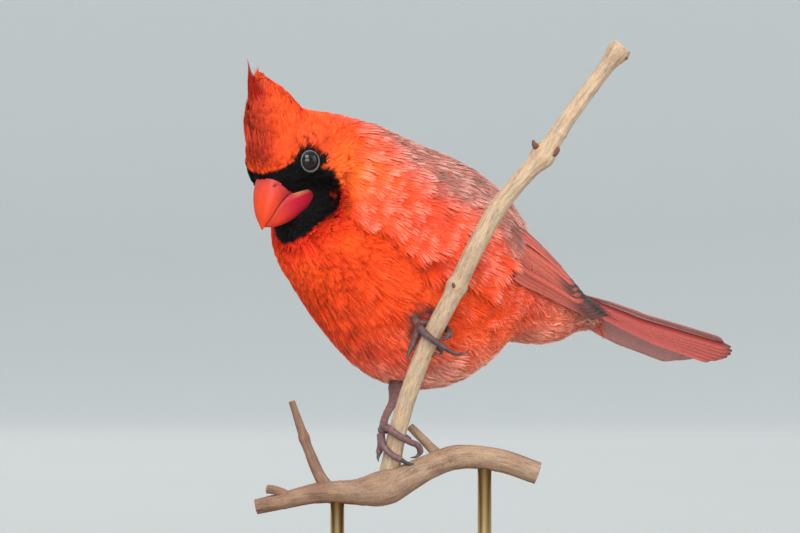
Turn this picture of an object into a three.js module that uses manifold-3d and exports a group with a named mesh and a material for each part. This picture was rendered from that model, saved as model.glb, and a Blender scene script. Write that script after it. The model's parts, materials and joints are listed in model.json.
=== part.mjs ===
// A life-size male northern cardinal on a slanted stem, held by a plain display stand.
// Millimetres, +Z up. The bird faces -X, its left side is -Y, and the origin is the middle of the
// base's underside.
import * as THREE from "three";
import { mergeVertices } from "three/addons/utils/BufferGeometryUtils.js";
import Module from "manifold-3d";

const wasm = await Module();
wasm.setup();

// Driving sizes
const GAP = 0.3; // between touching pieces
const BLEND = 2.5; // how softly the body's forms run together
const HEAD = { x: -43.5, y: 0, z: 147.5, yaw: 15, pitch: 35 };
const EYE = { radius: 3.7, sunk: 2.5, lidRing: 3.0, lidThick: 0.42, lidSunk: 0.2 };
const BILL = { nostril: 0.75 };
const WING = { front: [-28, 142], back: [80, 100], clear: 1.15, vane: 0.6, shell: 0.7 };
const TAIL = { feathersPerSide: 6, width: 8.5, vane: 0.6, centreTip: 134, outerTip: 121 };
const FOOT = { pad: 1.75, toe: 1.1, claw: 0.75, tarsus: 1.2 };
const PERCH_TURN = 35; // the perch's plane, turned from the bird's own axis, degrees
const STAND = { radius: 62, thick: 10, bevel: 2, rod: 2.2, rodSides: 20 };

const V = (x, y, z) => new THREE.Vector3(x, y, z);
const rad = THREE.MathUtils.degToRad;
const lerp = THREE.MathUtils.lerp;
const clamp01 = (x) => Math.min(1, Math.max(0, x));

// Solids
function solidFrom(geometry) {
  const plain = new THREE.BufferGeometry();
  plain.setAttribute("position", geometry.getAttribute("position"));
  if (geometry.index) plain.setIndex(geometry.index);
  const merged = mergeVertices(plain, 1e-3);
  const solid = new wasm.Manifold(
    new wasm.Mesh({
      numProp: 3,
      vertProperties: merged.getAttribute("position").array,
      triVerts: new Uint32Array(merged.index.array),
    }),
  );
  if (solid.volume() > 0) return solid;
  const turned = merged.index.array;
  for (let i = 0; i < turned.length; i += 3) {
    [turned[i], turned[i + 1]] = [turned[i + 1], turned[i]];
  }
  return new wasm.Manifold(
    new wasm.Mesh({
      numProp: 3,
      vertProperties: merged.getAttribute("position").array,
      triVerts: new Uint32Array(turned),
    }),
  );
}

function largestBody(solid) {
  return solid.decompose().reduce((best, s) => (s.volume() > best.volume() ? s : best));
}

function bareGeometry(solid) {
  const mesh = largestBody(solid).getMesh();
  const geometry = new THREE.BufferGeometry();
  geometry.setAttribute("position", new THREE.BufferAttribute(new Float32Array(mesh.vertProperties), 3));
  geometry.setIndex(new THREE.BufferAttribute(new Uint32Array(mesh.triVerts), 1));
  return geometry;
}

// Merging near points can part a sealed hollow from its body, so the largest body is taken again.
function geometryFrom(solid) {
  const passes = 3;
  let geometry = bareGeometry(solid);
  for (let i = 0; i < passes; i++) geometry = bareGeometry(solidFrom(geometry));
  geometry.computeVertexNormals();
  partTwins(geometry);
  return geometry;
}

// Two surfaces that touch at a point or along an edge are drawn a little back from each other.
function partTwins(geometry) {
  const setBack = 0.02;
  const [points, normals] = [geometry.getAttribute("position"), geometry.getAttribute("normal")];
  const seen = new Map();
  for (let i = 0; i < points.count; i++) {
    const key = [points.getX(i), points.getY(i), points.getZ(i)].map((x) => Math.round(x * 500)).join();
    seen.set(key, [...(seen.get(key) ?? []), i]);
  }
  for (const twins of seen.values()) {
    if (twins.length < 2) continue;
    for (const i of twins) {
      const at = V(points.getX(i), points.getY(i), points.getZ(i));
      at.addScaledVector(V(normals.getX(i), normals.getY(i), normals.getZ(i)), -setBack);
      points.setXYZ(i, at.x, at.y, at.z);
    }
  }
}

const join = (solids) => solids.reduce((all, s) => all.add(s));

// A closed surface through rings of points, each end closed by a fan round its middle.
function loft(rings, startPoint, endPoint) {
  const sides = rings[0].length;
  const middle = (ring) => ring.reduce((sum, p) => sum.add(p), V(0, 0, 0)).divideScalar(ring.length);
  const points = rings.flat();
  const faces = [];
  for (let i = 0; i + 1 < rings.length; i++) {
    for (let j = 0; j < sides; j++) {
      const a = i * sides + j;
      const b = i * sides + ((j + 1) % sides);
      faces.push(a, b, a + sides, b, b + sides, a + sides);
    }
  }
  const start = points.push(startPoint ?? middle(rings[0])) - 1;
  const end = points.push(endPoint ?? middle(rings.at(-1))) - 1;
  const last = (rings.length - 1) * sides;
  for (let j = 0; j < sides; j++) {
    const next = (j + 1) % sides;
    faces.push(start, next, j, end, last + j, last + next);
  }
  const geometry = new THREE.BufferGeometry();
  geometry.setAttribute("position", new THREE.Float32BufferAttribute(points.flatMap((p) => p.toArray()), 3));
  geometry.setIndex(faces);
  return solidFrom(geometry);
}

// A round rod along a smooth route of [point, radius] stops, with rounded ends.
function limb(stops, { sides = 8, steps = 10, startRound = 0.6, endRound = 0.6 } = {}) {
  const route = new THREE.CatmullRomCurve3(stops.map((s) => s[0]), false, "centripetal");
  const rings = [];
  let across = null;
  for (let i = 0; i <= steps; i++) {
    const t = i / steps;
    const at = route.getPoint(t);
    const along = route.getTangent(t);
    across ??= Math.abs(along.z) < 0.9 ? V(0, 0, 1) : V(1, 0, 0);
    across = across.clone().addScaledVector(along, -across.dot(along)).normalize();
    const third = along.clone().cross(across);
    const place = t * (stops.length - 1);
    const k = Math.min(stops.length - 2, Math.floor(place));
    const r = lerp(stops[k][1], stops[k + 1][1], place - k);
    rings.push(
      Array.from({ length: sides }, (_, j) => {
        const a = (2 * Math.PI * j) / sides;
        return at.clone().addScaledVector(across, r * Math.cos(a)).addScaledVector(third, r * Math.sin(a));
      }),
    );
  }
  const first = route.getPoint(0).addScaledVector(route.getTangent(0), -startRound * stops[0][1]);
  const final = route.getPoint(1).addScaledVector(route.getTangent(1), endRound * stops.at(-1)[1]);
  return loft(rings, first, final);
}

// A big block on the far side of a plane, for parting pieces with a flat face.
function beyondPlane(point, normal, offset = 0) {
  const size = 400;
  const box = new THREE.BoxGeometry(size, size, size);
  box.translate(0, 0, size / 2 + offset);
  const turn = new THREE.Quaternion().setFromUnitVectors(V(0, 0, 1), normal.clone().normalize());
  box.applyQuaternion(turn);
  box.translate(point.x, point.y, point.z);
  return solidFrom(box);
}

// The head's own directions: bill forwards, crown up, left ear out.
const flatForward = V(-Math.cos(rad(HEAD.yaw)), -Math.sin(rad(HEAD.yaw)), 0);
const forward = flatForward.clone().multiplyScalar(Math.cos(rad(HEAD.pitch)));
forward.z = -Math.sin(rad(HEAD.pitch));
const crown = flatForward.clone().multiplyScalar(Math.sin(rad(HEAD.pitch)));
crown.z = Math.cos(rad(HEAD.pitch));
const leftward = crown.clone().cross(forward);
const headPoint = (f, n, l = 0) =>
  V(HEAD.x, HEAD.y, HEAD.z).addScaledVector(forward, f).addScaledVector(crown, n).addScaledVector(leftward, l);

// The plumage's outline is a soft union of egg forms.
function egg(centre, radii, axes) {
  return { centre, radii, axes };
}
function bodyAxes(pitch, yaw = 0) {
  const [a, b] = [rad(pitch), rad(yaw)];
  const along = V(Math.cos(a) * Math.cos(b), Math.sin(b) * Math.cos(a), -Math.sin(a));
  const up = V(Math.sin(a) * Math.cos(b), Math.sin(b) * Math.sin(a), Math.cos(a));
  return [along, up.clone().cross(along), up];
}
function headAxes(lean = 0) {
  const a = rad(lean);
  const f = forward.clone().multiplyScalar(Math.cos(a)).addScaledVector(crown, Math.sin(a));
  const n = crown.clone().multiplyScalar(Math.cos(a)).addScaledVector(forward, -Math.sin(a));
  return [f, leftward, n];
}
const EGGS = {
  back: egg(V(2, 0, 118), [43, 35.5, 33.5], bodyAxes(30)),
  belly: egg(V(6, 0, 105.5), [31, 29, 29], bodyAxes(30)),
  rump: egg(V(34, 0, 111), [35, 22, 15], bodyAxes(27)),
  undertail: egg(V(56, 0, 104), [24, 11, 6], bodyAxes(18)),
  breast: egg(V(-21.5, 0, 131), [21, 24, 26], bodyAxes(35)),
  nape: egg(V(-21, 0, 145), [27, 20, 18], bodyAxes(22)),
  skull: egg(headPoint(-3, 0), [15.2, 14, 14], headAxes()),
  crownCone: egg(headPoint(0.8, 9), [8.4, 7, 15], headAxes(28)),
  cheeks: egg(headPoint(-8, -9), [14, 14.5, 13], headAxes()),
  chin: egg(headPoint(0.5, -11), [9, 8, 8.5], headAxes()),
};
const PLUMAGE = Object.values(EGGS);
const WING_CUSHIONS = [1, -1].map((side) => egg(V(30, -12 * side, 116.5), [50, 14.5, 10.5], bodyAxes(31, 12 * side)));
const TAIL_ROOF = egg(V(82, 0, 99), [40, 12, 5], bodyAxes(13));

// The face narrows to the bill: a hollow on each side in front of the cheek.
const FACE_HOLLOWS = [1, -1].map((side) => egg(headPoint(9, -9.4, 12.9 * side), [8.5, 5.6, 6], headAxes()));
const HOLLOW_BLEND = 2.6;

// Distance outside the soft union, below zero inside it.
function outsideEgg(p, e) {
  const d = p.clone().sub(e.centre);
  const q = e.axes.map((axis, i) => axis.dot(d) / e.radii[i]);
  const k0 = Math.hypot(...q);
  const k1 = Math.hypot(...q.map((x, i) => x / e.radii[i])) + 1e-9;
  return THREE.MathUtils.clamp((k0 * (k0 - 1)) / k1, -60, 60);
}
function outside(p, eggs) {
  const sum = eggs.reduce((total, e) => total + Math.exp(-outsideEgg(p, e) / BLEND), 0);
  return -BLEND * Math.log(sum);
}
function outsidePlumage(p) {
  const hollows = FACE_HOLLOWS.reduce((total, e) => total + Math.exp(-outsideEgg(p, e) / HOLLOW_BLEND), 0);
  return HOLLOW_BLEND * Math.log(Math.exp(outside(p, PLUMAGE) / HOLLOW_BLEND) + hollows);
}
const outsideEnvelope = (p) => Math.min(outsidePlumage(p), outside(p, [...WING_CUSHIONS, TAIL_ROOF]));

// How far a ray from a point inside runs before it leaves a field by the given clearance.
function exitDistance(from, direction, field, clearance = 0, most = 130) {
  let near = 0;
  let far = most;
  const steps = 26;
  const stride = 1.5;
  for (let r = stride; r < most; r += stride) {
    if (field(from.clone().addScaledVector(direction, r)) > clearance) {
      far = r;
      near = r - stride;
      break;
    }
  }
  for (let i = 0; i < steps; i++) {
    const mid = (near + far) / 2;
    if (field(from.clone().addScaledVector(direction, mid)) > clearance) far = mid;
    else near = mid;
  }
  return (near + far) / 2;
}

// The plumage as seen from an inner point: rings from pole to pole.
function starSolid(centre, pole, rows, columns, clearance = 0) {
  const across = Math.abs(pole.y) < 0.9 ? V(0, 1, 0) : V(1, 0, 0);
  across.addScaledVector(pole, -across.dot(pole)).normalize();
  const third = pole.clone().cross(across);
  const reach = (direction) =>
    centre.clone().addScaledVector(direction, exitDistance(centre, direction, outsidePlumage, clearance));
  const rings = [];
  for (let i = 1; i < rows; i++) {
    const polar = (Math.PI * i) / rows;
    rings.push(
      Array.from({ length: columns }, (_, j) => {
        const a = (2 * Math.PI * j) / columns;
        const direction = pole.clone().multiplyScalar(Math.cos(polar));
        direction.addScaledVector(across, Math.sin(polar) * Math.cos(a));
        direction.addScaledVector(third, Math.sin(polar) * Math.sin(a));
        return reach(direction);
      }),
    );
  }
  return loft(rings, reach(pole.clone()), reach(pole.clone().negate()));
}

// A thin closed vane through stations {at, side, up, half, arch}. Each has a ridge along its shaft.
function vaneSolid(stations, thick, tip) {
  const rings = stations.map(({ at, side, up, half, arch = 0, tilt = 0, plain = false }) => {
    const point = (across, lift) =>
      at.clone().addScaledVector(side, across * half).addScaledVector(up, lift + tilt * across);
    if (plain) return [point(-1, -thick / 2), point(-1, thick / 2), point(1, thick / 2), point(1, -thick / 2)];
    return [
      point(-1, -thick / 2 - arch),
      point(-1, thick / 2 - arch),
      point(0, thick / 2),
      point(1, thick / 2 - arch),
      point(1, -thick / 2 - arch),
      point(0, -thick / 2),
    ];
  });
  return loft(rings, undefined, tip);
}

// Fullness of a feather along its length: a narrow root, a broad vane and a round or pointed tip.
function featherHalfWidth(t, half, tipStart = 0.8, tipLeast = 0.25) {
  const root = lerp(0.45, 1, clamp01(t / 0.25));
  const tipT = clamp01((t - tipStart) / (1 - tipStart));
  return half * root * Math.max(tipLeast, Math.sqrt(1 - tipT * tipT));
}

// Wings
const wingFront = V(WING.front[0], 0, WING.front[1]);
const wingBack = V(WING.back[0], 0, WING.back[1]);
const wingLength = wingFront.distanceTo(wingBack);
const wingAlong = wingBack.clone().sub(wingFront).normalize();
const wingUp = V(-wingAlong.z, 0, wingAlong.x);

// A point on the folded wing: s runs from shoulder to tip, angle from the back down the side.
function wingPoint(s, angle, lift, side) {
  const a = rad(angle);
  const direction = wingUp.clone().multiplyScalar(Math.cos(a)).add(V(0, -side * Math.sin(a), 0));
  const from = wingFront.clone().addScaledVector(wingAlong, s * wingLength);
  const r = exitDistance(from, direction, outsideEnvelope, WING.clear, 80);
  return from.addScaledVector(direction, r + lift);
}

// One flight feather or covert laid along the folded wing from root to tip, both [s, angle, lift].
function wingVane(side, { root, tip, half, steps = 4, bow = 0, shingle = 0.5, tipStart = 0.75 }) {
  const place = (t) => {
    const s = lerp(root[0], tip[0], t);
    const angle = lerp(root[1], tip[1], t) + bow * Math.sin(Math.PI * t);
    return [s, angle, lerp(root[2], tip[2], t)];
  };
  const point = (t) => wingPoint(...place(t), side);
  const stations = [];
  const last = 0.97;
  for (let i = 0; i <= steps; i++) {
    const t = (last * i) / steps;
    const [s, angle, lift] = place(t);
    const at = point(t);
    const along = point(t + 0.03).sub(at).normalize();
    const up = wingPoint(s, angle, lift + 1, side).sub(at).normalize();
    const across = along.clone().cross(up).normalize().multiplyScalar(side);
    const outward = across.clone().cross(along).multiplyScalar(side).normalize();
    stations.push({ at, side: across, up: outward, half: featherHalfWidth(t, half, tipStart), tilt: shingle, plain: true });
  }
  const end = point(1);
  return vaneSolid(stations, WING.vane, end);
}

const FEATHER_STEP = 0.03; // each feather of a rank lies this much above the last
function wingTiers() {
  const tiers = [];
  const rank = (count, make) => {
    for (let i = 0; i < count; i++) {
      const { root, tip, ...rest } = make(i / (count - 1));
      const raised = ([s, angle, lift]) => [s, angle, lift + FEATHER_STEP * i];
      tiers.push({ root: raised(root), tip: raised(tip), ...rest });
    }
  };
  rank(4, (k) => ({
    root: [0.4, lerp(104, 84, k), 0.9],
    tip: [lerp(0.955, 0.83, k), lerp(104, 93, k), lerp(0.9, 1.5, k)],
    half: 4,
    steps: 2,
  }));
  rank(5, (k) => ({
    root: [0.38, lerp(92, 58, k), 1.4],
    tip: [lerp(0.85, 0.74, k), lerp(95, 62, k), lerp(1.5, 2.1, k)],
    half: 4.3,
    steps: 2,
  }));
  rank(3, (k) => ({
    root: [0.34, lerp(56, 40, k), 1.3],
    tip: [lerp(0.76, 0.62, k), lerp(64, 38, k), 2.0],
    half: 5.2,
    steps: 2,
  }));
  rank(5, (k) => ({
    root: [0.24, lerp(102, 52, k), 1.1],
    tip: [lerp(0.5, 0.46, k), lerp(106, 54, k), 1.9],
    half: 5.8,
    steps: 2,
  }));
  rank(4, (k) => ({
    root: [0.13, lerp(98, 54, k), 0.8],
    tip: [0.33, lerp(102, 54, k), 1.8],
    half: 6.8,
    steps: 2,
  }));
  return tiers;
}

// The wing's own skin under the vanes, from the wrist to where the flight feathers stand free.
function wingShell(side) {
  const rows = 7;
  const columns = 4;
  const span = (i) => lerp(0.07, 0.66, i / rows);
  const arc = (i, j) => {
    const s = span(i);
    const rounded = Math.sqrt(1 - (1 - clamp01((s - 0.05) / 0.14)) ** 2);
    const [low, high] = [lerp(78, 108, rounded), lerp(62, lerp(44, 52, clamp01((s - 0.3) / 0.36)), rounded)];
    return lerp(low, high, j / columns);
  };
  const rings = [];
  for (let i = 0; i <= rows; i++) {
    const ring = [];
    for (let j = 0; j <= columns; j++) ring.push(wingPoint(span(i), arc(i, j), WING.shell, side));
    for (let j = columns; j >= 0; j--) ring.push(wingPoint(span(i), arc(i, j), 0, side));
    rings.push(ring);
  }
  return loft(rings);
}

function wing(side) {
  return join([wingShell(side), ...wingTiers().map((spec) => wingVane(side, spec))]);
}

// Tail
const tailPlane = { point: V(63, 0, 103.5), normal: V(Math.cos(rad(16)), 0, -Math.sin(rad(16))) };
const TAIL_DROP = 0.25; // fall for each mm of run
const TAIL_SAG = { depth: 2.6, from: 72, run: 24 }; // the bend down behind the rump
const TAIL_ROOF_SLOPE = 0.62;

function tailVane(i, side) {
  const k = i / (TAIL.feathersPerSide - 1);
  const rootY = side * lerp(0.8, 3.5, k);
  const tipY = side * lerp(1.4, 8.4, k);
  const reach = lerp(TAIL.centreTip, TAIL.outerTip, k * k);
  const top = 106.4;
  const startX = 66;
  const centre = (t) => {
    const x = lerp(startX, reach, t);
    const y = lerp(rootY, tipY, Math.sqrt(t));
    const layer = 0.6 * i;
    const sag = TAIL_SAG.depth * clamp01((x - TAIL_SAG.from) / TAIL_SAG.run) + 1.5 * (1 - t) ** 2;
    const slope = TAIL_DROP * (x - 75) + TAIL_ROOF_SLOPE * Math.abs(y);
    return V(x, -y, top - slope - layer * lerp(0.4, 1, t) - sag);
  };
  const steps = 4;
  const stations = [];
  for (let j = 0; j <= steps; j++) {
    const t = (0.96 * j) / steps;
    const at = centre(t);
    const along = centre(t + 0.02).sub(at).normalize();
    const roofUp = V(0, side * -TAIL_ROOF_SLOPE, 1).normalize();
    const across = along.clone().cross(roofUp).normalize();
    const up = across.clone().cross(along).normalize();
    const half = featherHalfWidth(t, TAIL.width / 2, 0.86, 0.35) * lerp(0.55, 1, clamp01(t / 0.4));
    stations.push({ at, side: across, up, half, plain: true });
  }
  return vaneSolid(stations, TAIL.vane, centre(1));
}

function tail(plumageRear) {
  const vanes = [];
  for (let i = 0; i < TAIL.feathersPerSide; i++) vanes.push(tailVane(i, 1), tailVane(i, -1));
  return join([plumageRear, ...vanes]);
}

// Crest: lance-like feathers laid round a core whose front and rear lines meet at a tall tip.
const crestPlane = { point: headPoint(0, 16), normal: headAxes(20)[2] };
// Rows are [height, front line, rear line, half width] in the head's own directions.
const CREST_LINES = [
  [10, 10.6, -13.5, 8.4],
  [16, 8.8, -13, 7.4],
  [21, 5.9, -9.4, 5.4],
  [25.5, 3.3, -6.4, 4],
  [31.5, 0.2, -5, 2.3],
  [37.5, -2.8, -4.5, 0.6],
];
const CREST_TIP = headPoint(-3.6, 39.6);

function crestPoint(height, degrees, lift = 0) {
  let k = 0;
  while (k < CREST_LINES.length - 2 && CREST_LINES[k + 1][0] < height) k++;
  const [low, high] = [CREST_LINES[k], CREST_LINES[k + 1]];
  const t = (height - low[0]) / (high[0] - low[0]);
  const [front, rear, half] = [1, 2, 3].map((i) => lerp(low[i], high[i], t));
  const a = rad(degrees);
  const forwards = (front + rear) / 2 + ((front - rear) / 2 + lift) * Math.cos(a);
  return headPoint(forwards, height, (half + lift) * Math.sin(a));
}

function crestCore() {
  const sides = 12;
  const rings = CREST_LINES.map(([height]) =>
    Array.from({ length: sides }, (_, j) => crestPoint(height, (-360 * j) / sides)),
  );
  return loft(rings, undefined, CREST_TIP);
}

function crestVane(degrees, low, high, half) {
  const steps = 4;
  const flare = lerp(0.1, 1.2, (1 - Math.cos(rad(degrees))) / 2);
  const lift = (t) => 0.25 + flare * t * t;
  const at = (t) => crestPoint(lerp(low, high, t), degrees, lift(t));
  const stations = [];
  for (let i = 0; i <= steps; i++) {
    const t = (0.94 * i) / steps;
    const here = at(t);
    const along = at(t + 0.05).sub(here).normalize();
    const across = crestPoint(lerp(low, high, t), degrees + 4, lift(t)).sub(here);
    across.addScaledVector(along, -across.dot(along)).normalize();
    const up = across.clone().cross(along).normalize();
    stations.push({ at: here, side: across, up, half: half * (1 - 0.8 * t), plain: true });
  }
  return vaneSolid(stations, 0.6, at(1));
}

function crestFeathers() {
  const rows = [
    { degrees: [0], low: 11, high: 39.4, half: 2 },
    { degrees: [-34, 34], low: 11.5, high: 36.6, half: 2.4 },
    { degrees: [-72, 72], low: 12.5, high: 33, half: 2.9 },
    { degrees: [-108, 108], low: 13.5, high: 29, half: 3.1 },
    { degrees: [-146, 146], low: 13.5, high: 25, half: 3.1 },
    { degrees: [180], low: 13.5, high: 21.5, half: 2.9 },
  ];
  return rows.flatMap(({ degrees, low, high, half }) => degrees.map((a) => crestVane(a, low, high, half)));
}

// Bill: two mandibles, each a row of half-round sections with a flat biting side.
// Rows are [forward, height]: the biting line from deep in the face to the tip, and the outer line.
const BITE_LINE = [[-3, -8.8], [1, -8], [6, -5.6], [10.9, -4.2], [14.8, -4.9], [19, -7.4], [21.8, -9.6]];
const CULMEN = [[-3, 5], [4, 6.5], [9, 5.8], [13.5, 3.4], [17.6, -0.6], [20.8, -5], [22.5, -9.7]];
const KEEL = [[-3, -12.5], [1, -13.2], [6, -13.8], [11, -13.6], [15.5, -12.7], [18.6, -11.4], [20.9, -9.8]];
const BITE_GAP = 0.5; // the open line of the mouth

function mandible(outerLine, widths, squareness, shift, grow = 0) {
  const line = (rows) => new THREE.CatmullRomCurve3(rows.map(([f, n]) => V(f, n, 0)), false, "centripetal");
  const outer = line(outerLine);
  const biting = line(BITE_LINE);
  const halfWidth = line(widths.map((w, i) => [i, w]));
  const steps = 12;
  const arc = 8;
  const rings = [];
  for (let i = 0; i <= steps; i++) {
    const t = i / steps;
    const reach = Math.min(t, shift < 0 ? 0.965 : 1);
    const [a, b] = [outer.getPoint(t), biting.getPoint(reach)];
    b.y += shift - Math.sign(shift) * grow;
    a.y += Math.sign(shift) * grow;
    const half = halfWidth.getPoint(t).y + grow;
    rings.push(
      Array.from({ length: arc + 1 }, (_, j) => {
        const turn = Math.PI * (j / arc - 0.5);
        const height = Math.max(0, Math.cos(turn)) ** squareness;
        const across = Math.sign(turn) * Math.abs(Math.sin(turn)) ** squareness;
        return headPoint(lerp(b.x, a.x, height), lerp(b.y, a.y, height), across * half);
      }),
    );
  }
  const tip = rings.at(-1).reduce((sum, p) => sum.add(p), V(0, 0, 0)).divideScalar(arc + 1);
  return loft(rings, undefined, tip.addScaledVector(forward, grow));
}
const upperMandible = (grow = 0) => mandible(CULMEN, [7.8, 8.1, 7.8, 6.8, 5.2, 3.1, 0.5], 0.85, BITE_GAP / 2, grow);
const lowerMandible = (grow = 0) => mandible(KEEL, [8.2, 8.8, 8.6, 7.1, 5.1, 3, 0.5], 0.6, -BITE_GAP / 2, grow);

function nostrils() {
  return [1, -1].map((side) => {
    const pit = new THREE.SphereGeometry(BILL.nostril, 10, 6);
    pit.scale(1.5, 1, 1);
    const at = headPoint(13.2, 0.9, side * 3.9);
    pit.translate(at.x, at.y, at.z);
    return solidFrom(pit);
  });
}

// Eyes
function eyeFrame(side) {
  const out = leftward.clone().multiplyScalar(side * 0.88).addScaledVector(forward, 0.42).addScaledVector(crown, 0.2);
  out.normalize();
  const from = headPoint(2.5, 3.1, side * 11.5).addScaledVector(out, -8);
  const surface = from.clone().addScaledVector(out, exitDistance(from, out, outsidePlumage));
  return { out, surface, centre: surface.clone().addScaledVector(out, -EYE.sunk) };
}
function eyeball(side, radius) {
  const { out, centre } = eyeFrame(side);
  const ball = new THREE.SphereGeometry(radius, 14, 8);
  ball.applyQuaternion(new THREE.Quaternion().setFromUnitVectors(V(0, 1, 0), out));
  ball.translate(centre.x, centre.y, centre.z);
  return solidFrom(ball);
}
function lid(side) {
  const { out, surface } = eyeFrame(side);
  const ring = new THREE.TorusGeometry(EYE.lidRing, EYE.lidThick, 6, 16);
  ring.applyQuaternion(new THREE.Quaternion().setFromUnitVectors(V(0, 0, 1), out));
  const at = surface.clone().addScaledVector(out, -EYE.lidSunk);
  ring.translate(at.x, at.y, at.z);
  return solidFrom(ring);
}

// The trunk of the bird, cast from inner points and parted by flat cuts.
const neckFront = { point: headPoint(-9, -9), normal: headAxes(26)[0] };
const neckBack = { point: V(-14, 0, 132), normal: V(-0.9, 0, 0.43) };
const throat = { point: V(-41, 0, 130), normal: V(-0.3, -0.08, 0.95) };
const past = (plane, offset) => beyondPlane(plane.point, plane.normal, offset);

function trunk() {
  const torsoCentre = V(6, 0, 115);
  const rearward = bodyAxes(21)[0];
  const torsoWhole = starSolid(torsoCentre, rearward, 26, 32);
  const torso = torsoWhole
    .subtract(past(neckBack, -GAP / 2).intersect(past(throat, -GAP / 2)))
    .subtract(past(tailPlane, -GAP / 2));
  const tailCone = torsoWhole.intersect(past(tailPlane, GAP / 2));
  const neck = starSolid(V(-24, 0, 140), forward, 26, 32)
    .intersect(past(neckBack, GAP / 2))
    .intersect(past(throat, GAP / 2))
    .subtract(past(neckFront, -GAP / 2));
  const headFront = starSolid(headPoint(-3, 1), leftward, 20, 26)
    .intersect(past(neckFront, GAP / 2))
    .intersect(past(throat, GAP / 2));
  const crestBase = headFront.intersect(past(crestPlane, GAP / 2));
  let head = headFront.subtract(past(crestPlane, -GAP / 2));
  for (const side of [1, -1]) head = head.add(lid(side)).subtract(eyeball(side, EYE.radius + GAP));
  head = head.subtract(upperMandible(GAP)).subtract(lowerMandible(GAP));
  return { torso, tailCone, neck, head, crestBase };
}

// The perch stands in its own upright plane: across it, its height, and depth behind it.
const perchCos = Math.cos(rad(PERCH_TURN));
const perchSin = Math.sin(rad(PERCH_TURN));
const perchPoint = (across, height, depth) =>
  V(across * perchCos + depth * perchSin, -across * perchSin + depth * perchCos, height);

// Stem stops are [across, height, depth, radius].
const STEM = [
  [-5.2, 43, -24, 3.9],
  [-3.6, 48.5, -24.6, 3.2],
  [-0.6, 62.9, -27, 2.85],
  [4.8, 80.4, -31, 2.85],
  [10.2, 93.2, -34, 2.9],
  [17.5, 107.5, -36.4, 3.0],
  [24.8, 122.5, -38, 3.0],
  [31.8, 134.5, -39, 2.9],
  [38.1, 142.4, -39.4, 2.8],
  [45.4, 150.4, -39.8, 2.8],
  [54, 163.1, -40.4, 2.5],
  [63.5, 175.8, -41, 2.4],
  [70.6, 185, -41.6, 2.6],
];
const BRANCH = [
  [-46, 38.2, -24.5, 2.4],
  [-38, 40, -25.2, 2.7],
  [-26, 42.8, -26.5, 3.2],
  [-12, 43.2, -27, 4.2],
  [-3, 45, -27, 4.9],
  [9, 51, -26, 4.0],
  [18, 54, -25, 3.8],
  [32, 53, -24, 3.7],
  [44, 49, -23, 3.6],
];
const SPUR = [
  [-22, 43, -26.5, 2.2],
  [-25.5, 48, -26.8, 1.9],
  [-29, 56, -27.5, 1.6],
  [-31.5, 63, -28, 1.4],
  [-34.5, 72, -28.5, 1.0],
];
const STUB = [
  [14, 53, -26, 2.0],
  [9.5, 57.5, -22, 1.5],
  [3.5, 63.5, -17, 1.3],
];
const SIDE_STUB = [
  [-34, 41, -25.5, 1.6],
  [-39.5, 43.5, -26.2, 1.4],
  [-42.5, 44, -26.6, 1.4],
];

const alongPerch = (rows) => rows.map(([a, h, d, r]) => [perchPoint(a, h, d), r]);
const stemRoute = new THREE.CatmullRomCurve3(alongPerch(STEM).map((s) => s[0]), false, "centripetal");

function knob(across, height, depth, radius, stretch = 1) {
  const bump = new THREE.SphereGeometry(radius, 7, 5);
  bump.scale(1, 1, stretch);
  const at = perchPoint(across, height, depth);
  bump.translate(at.x, at.y, at.z);
  return solidFrom(bump);
}

function perchStem() {
  const rod = limb(alongPerch(STEM), { sides: 10, steps: 20, startRound: 0.1, endRound: 0.05 });
  const bud = limb(alongPerch([[44.5, 150.5, -40, 1.6], [48.6, 150.6, -41.5, 1.0], [50.2, 152.4, -41.8, 0.7]]), {
    sides: 6,
    steps: 4,
  });
  const swellings = [
    knob(44.8, 150.6, -39.8, 3.5, 0.8),
    knob(43.2, 153.4, -40.8, 1.3),
    knob(69.2, 183, -41.6, 3.3, 0.8),
    knob(17.9, 108.4, -38.2, 1.6),
    knob(13.4, 83, -31.5, 1.0),
  ];
  return join([rod, bud, ...swellings]);
}

function branchRod(grow = 0) {
  const grown = alongPerch(BRANCH).map(([at, radius]) => [at, radius + grow]);
  return limb(grown, { sides: 10, steps: 18, startRound: 0.05, endRound: 0.05 });
}
function branchCollar(grow = 0) {
  return knob(-5, 43.5, -25.8, 5.2 + grow, 0.9);
}
function perchBranch() {
  const main = branchRod();
  const twigs = [SPUR, STUB, SIDE_STUB].map((rows) => limb(alongPerch(rows), { sides: 7, steps: 6, endRound: 0.3 }));
  return join([main, ...twigs, branchCollar(), knob(-8.5, 40.5, -27, 2.2), knob(-30.2, 60.5, -28.5, 1.5)]);
}

// Feet: toes wrap the stem. A stop is [height on the stem, degrees round it, how far out].
function stemFrame(height) {
  let [low, high] = [0, 1];
  for (let i = 0; i < 40; i++) {
    const mid = (low + high) / 2;
    if (stemRoute.getPoint(mid).z < height) low = mid;
    else high = mid;
  }
  const at = stemRoute.getPoint(low);
  const along = stemRoute.getTangent(low);
  const toView = perchPoint(0, 0, -1);
  toView.addScaledVector(along, -toView.dot(along)).normalize();
  return { at, along, toView, right: along.clone().cross(toView).normalize() };
}
// Zero degrees faces the viewer of the perch, ninety is to its right.
function roundStem(height, degrees, out) {
  const { at, along, toView, right } = stemFrame(height);
  const place = at.clone().addScaledVector(toView, out * Math.cos(rad(degrees)));
  return place.addScaledVector(right, out * Math.sin(rad(degrees)));
}

const STEM_SKIN = 3.25; // the stem's radius at the feet, with the gap
const grip = (radius) => STEM_SKIN + radius;

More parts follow.
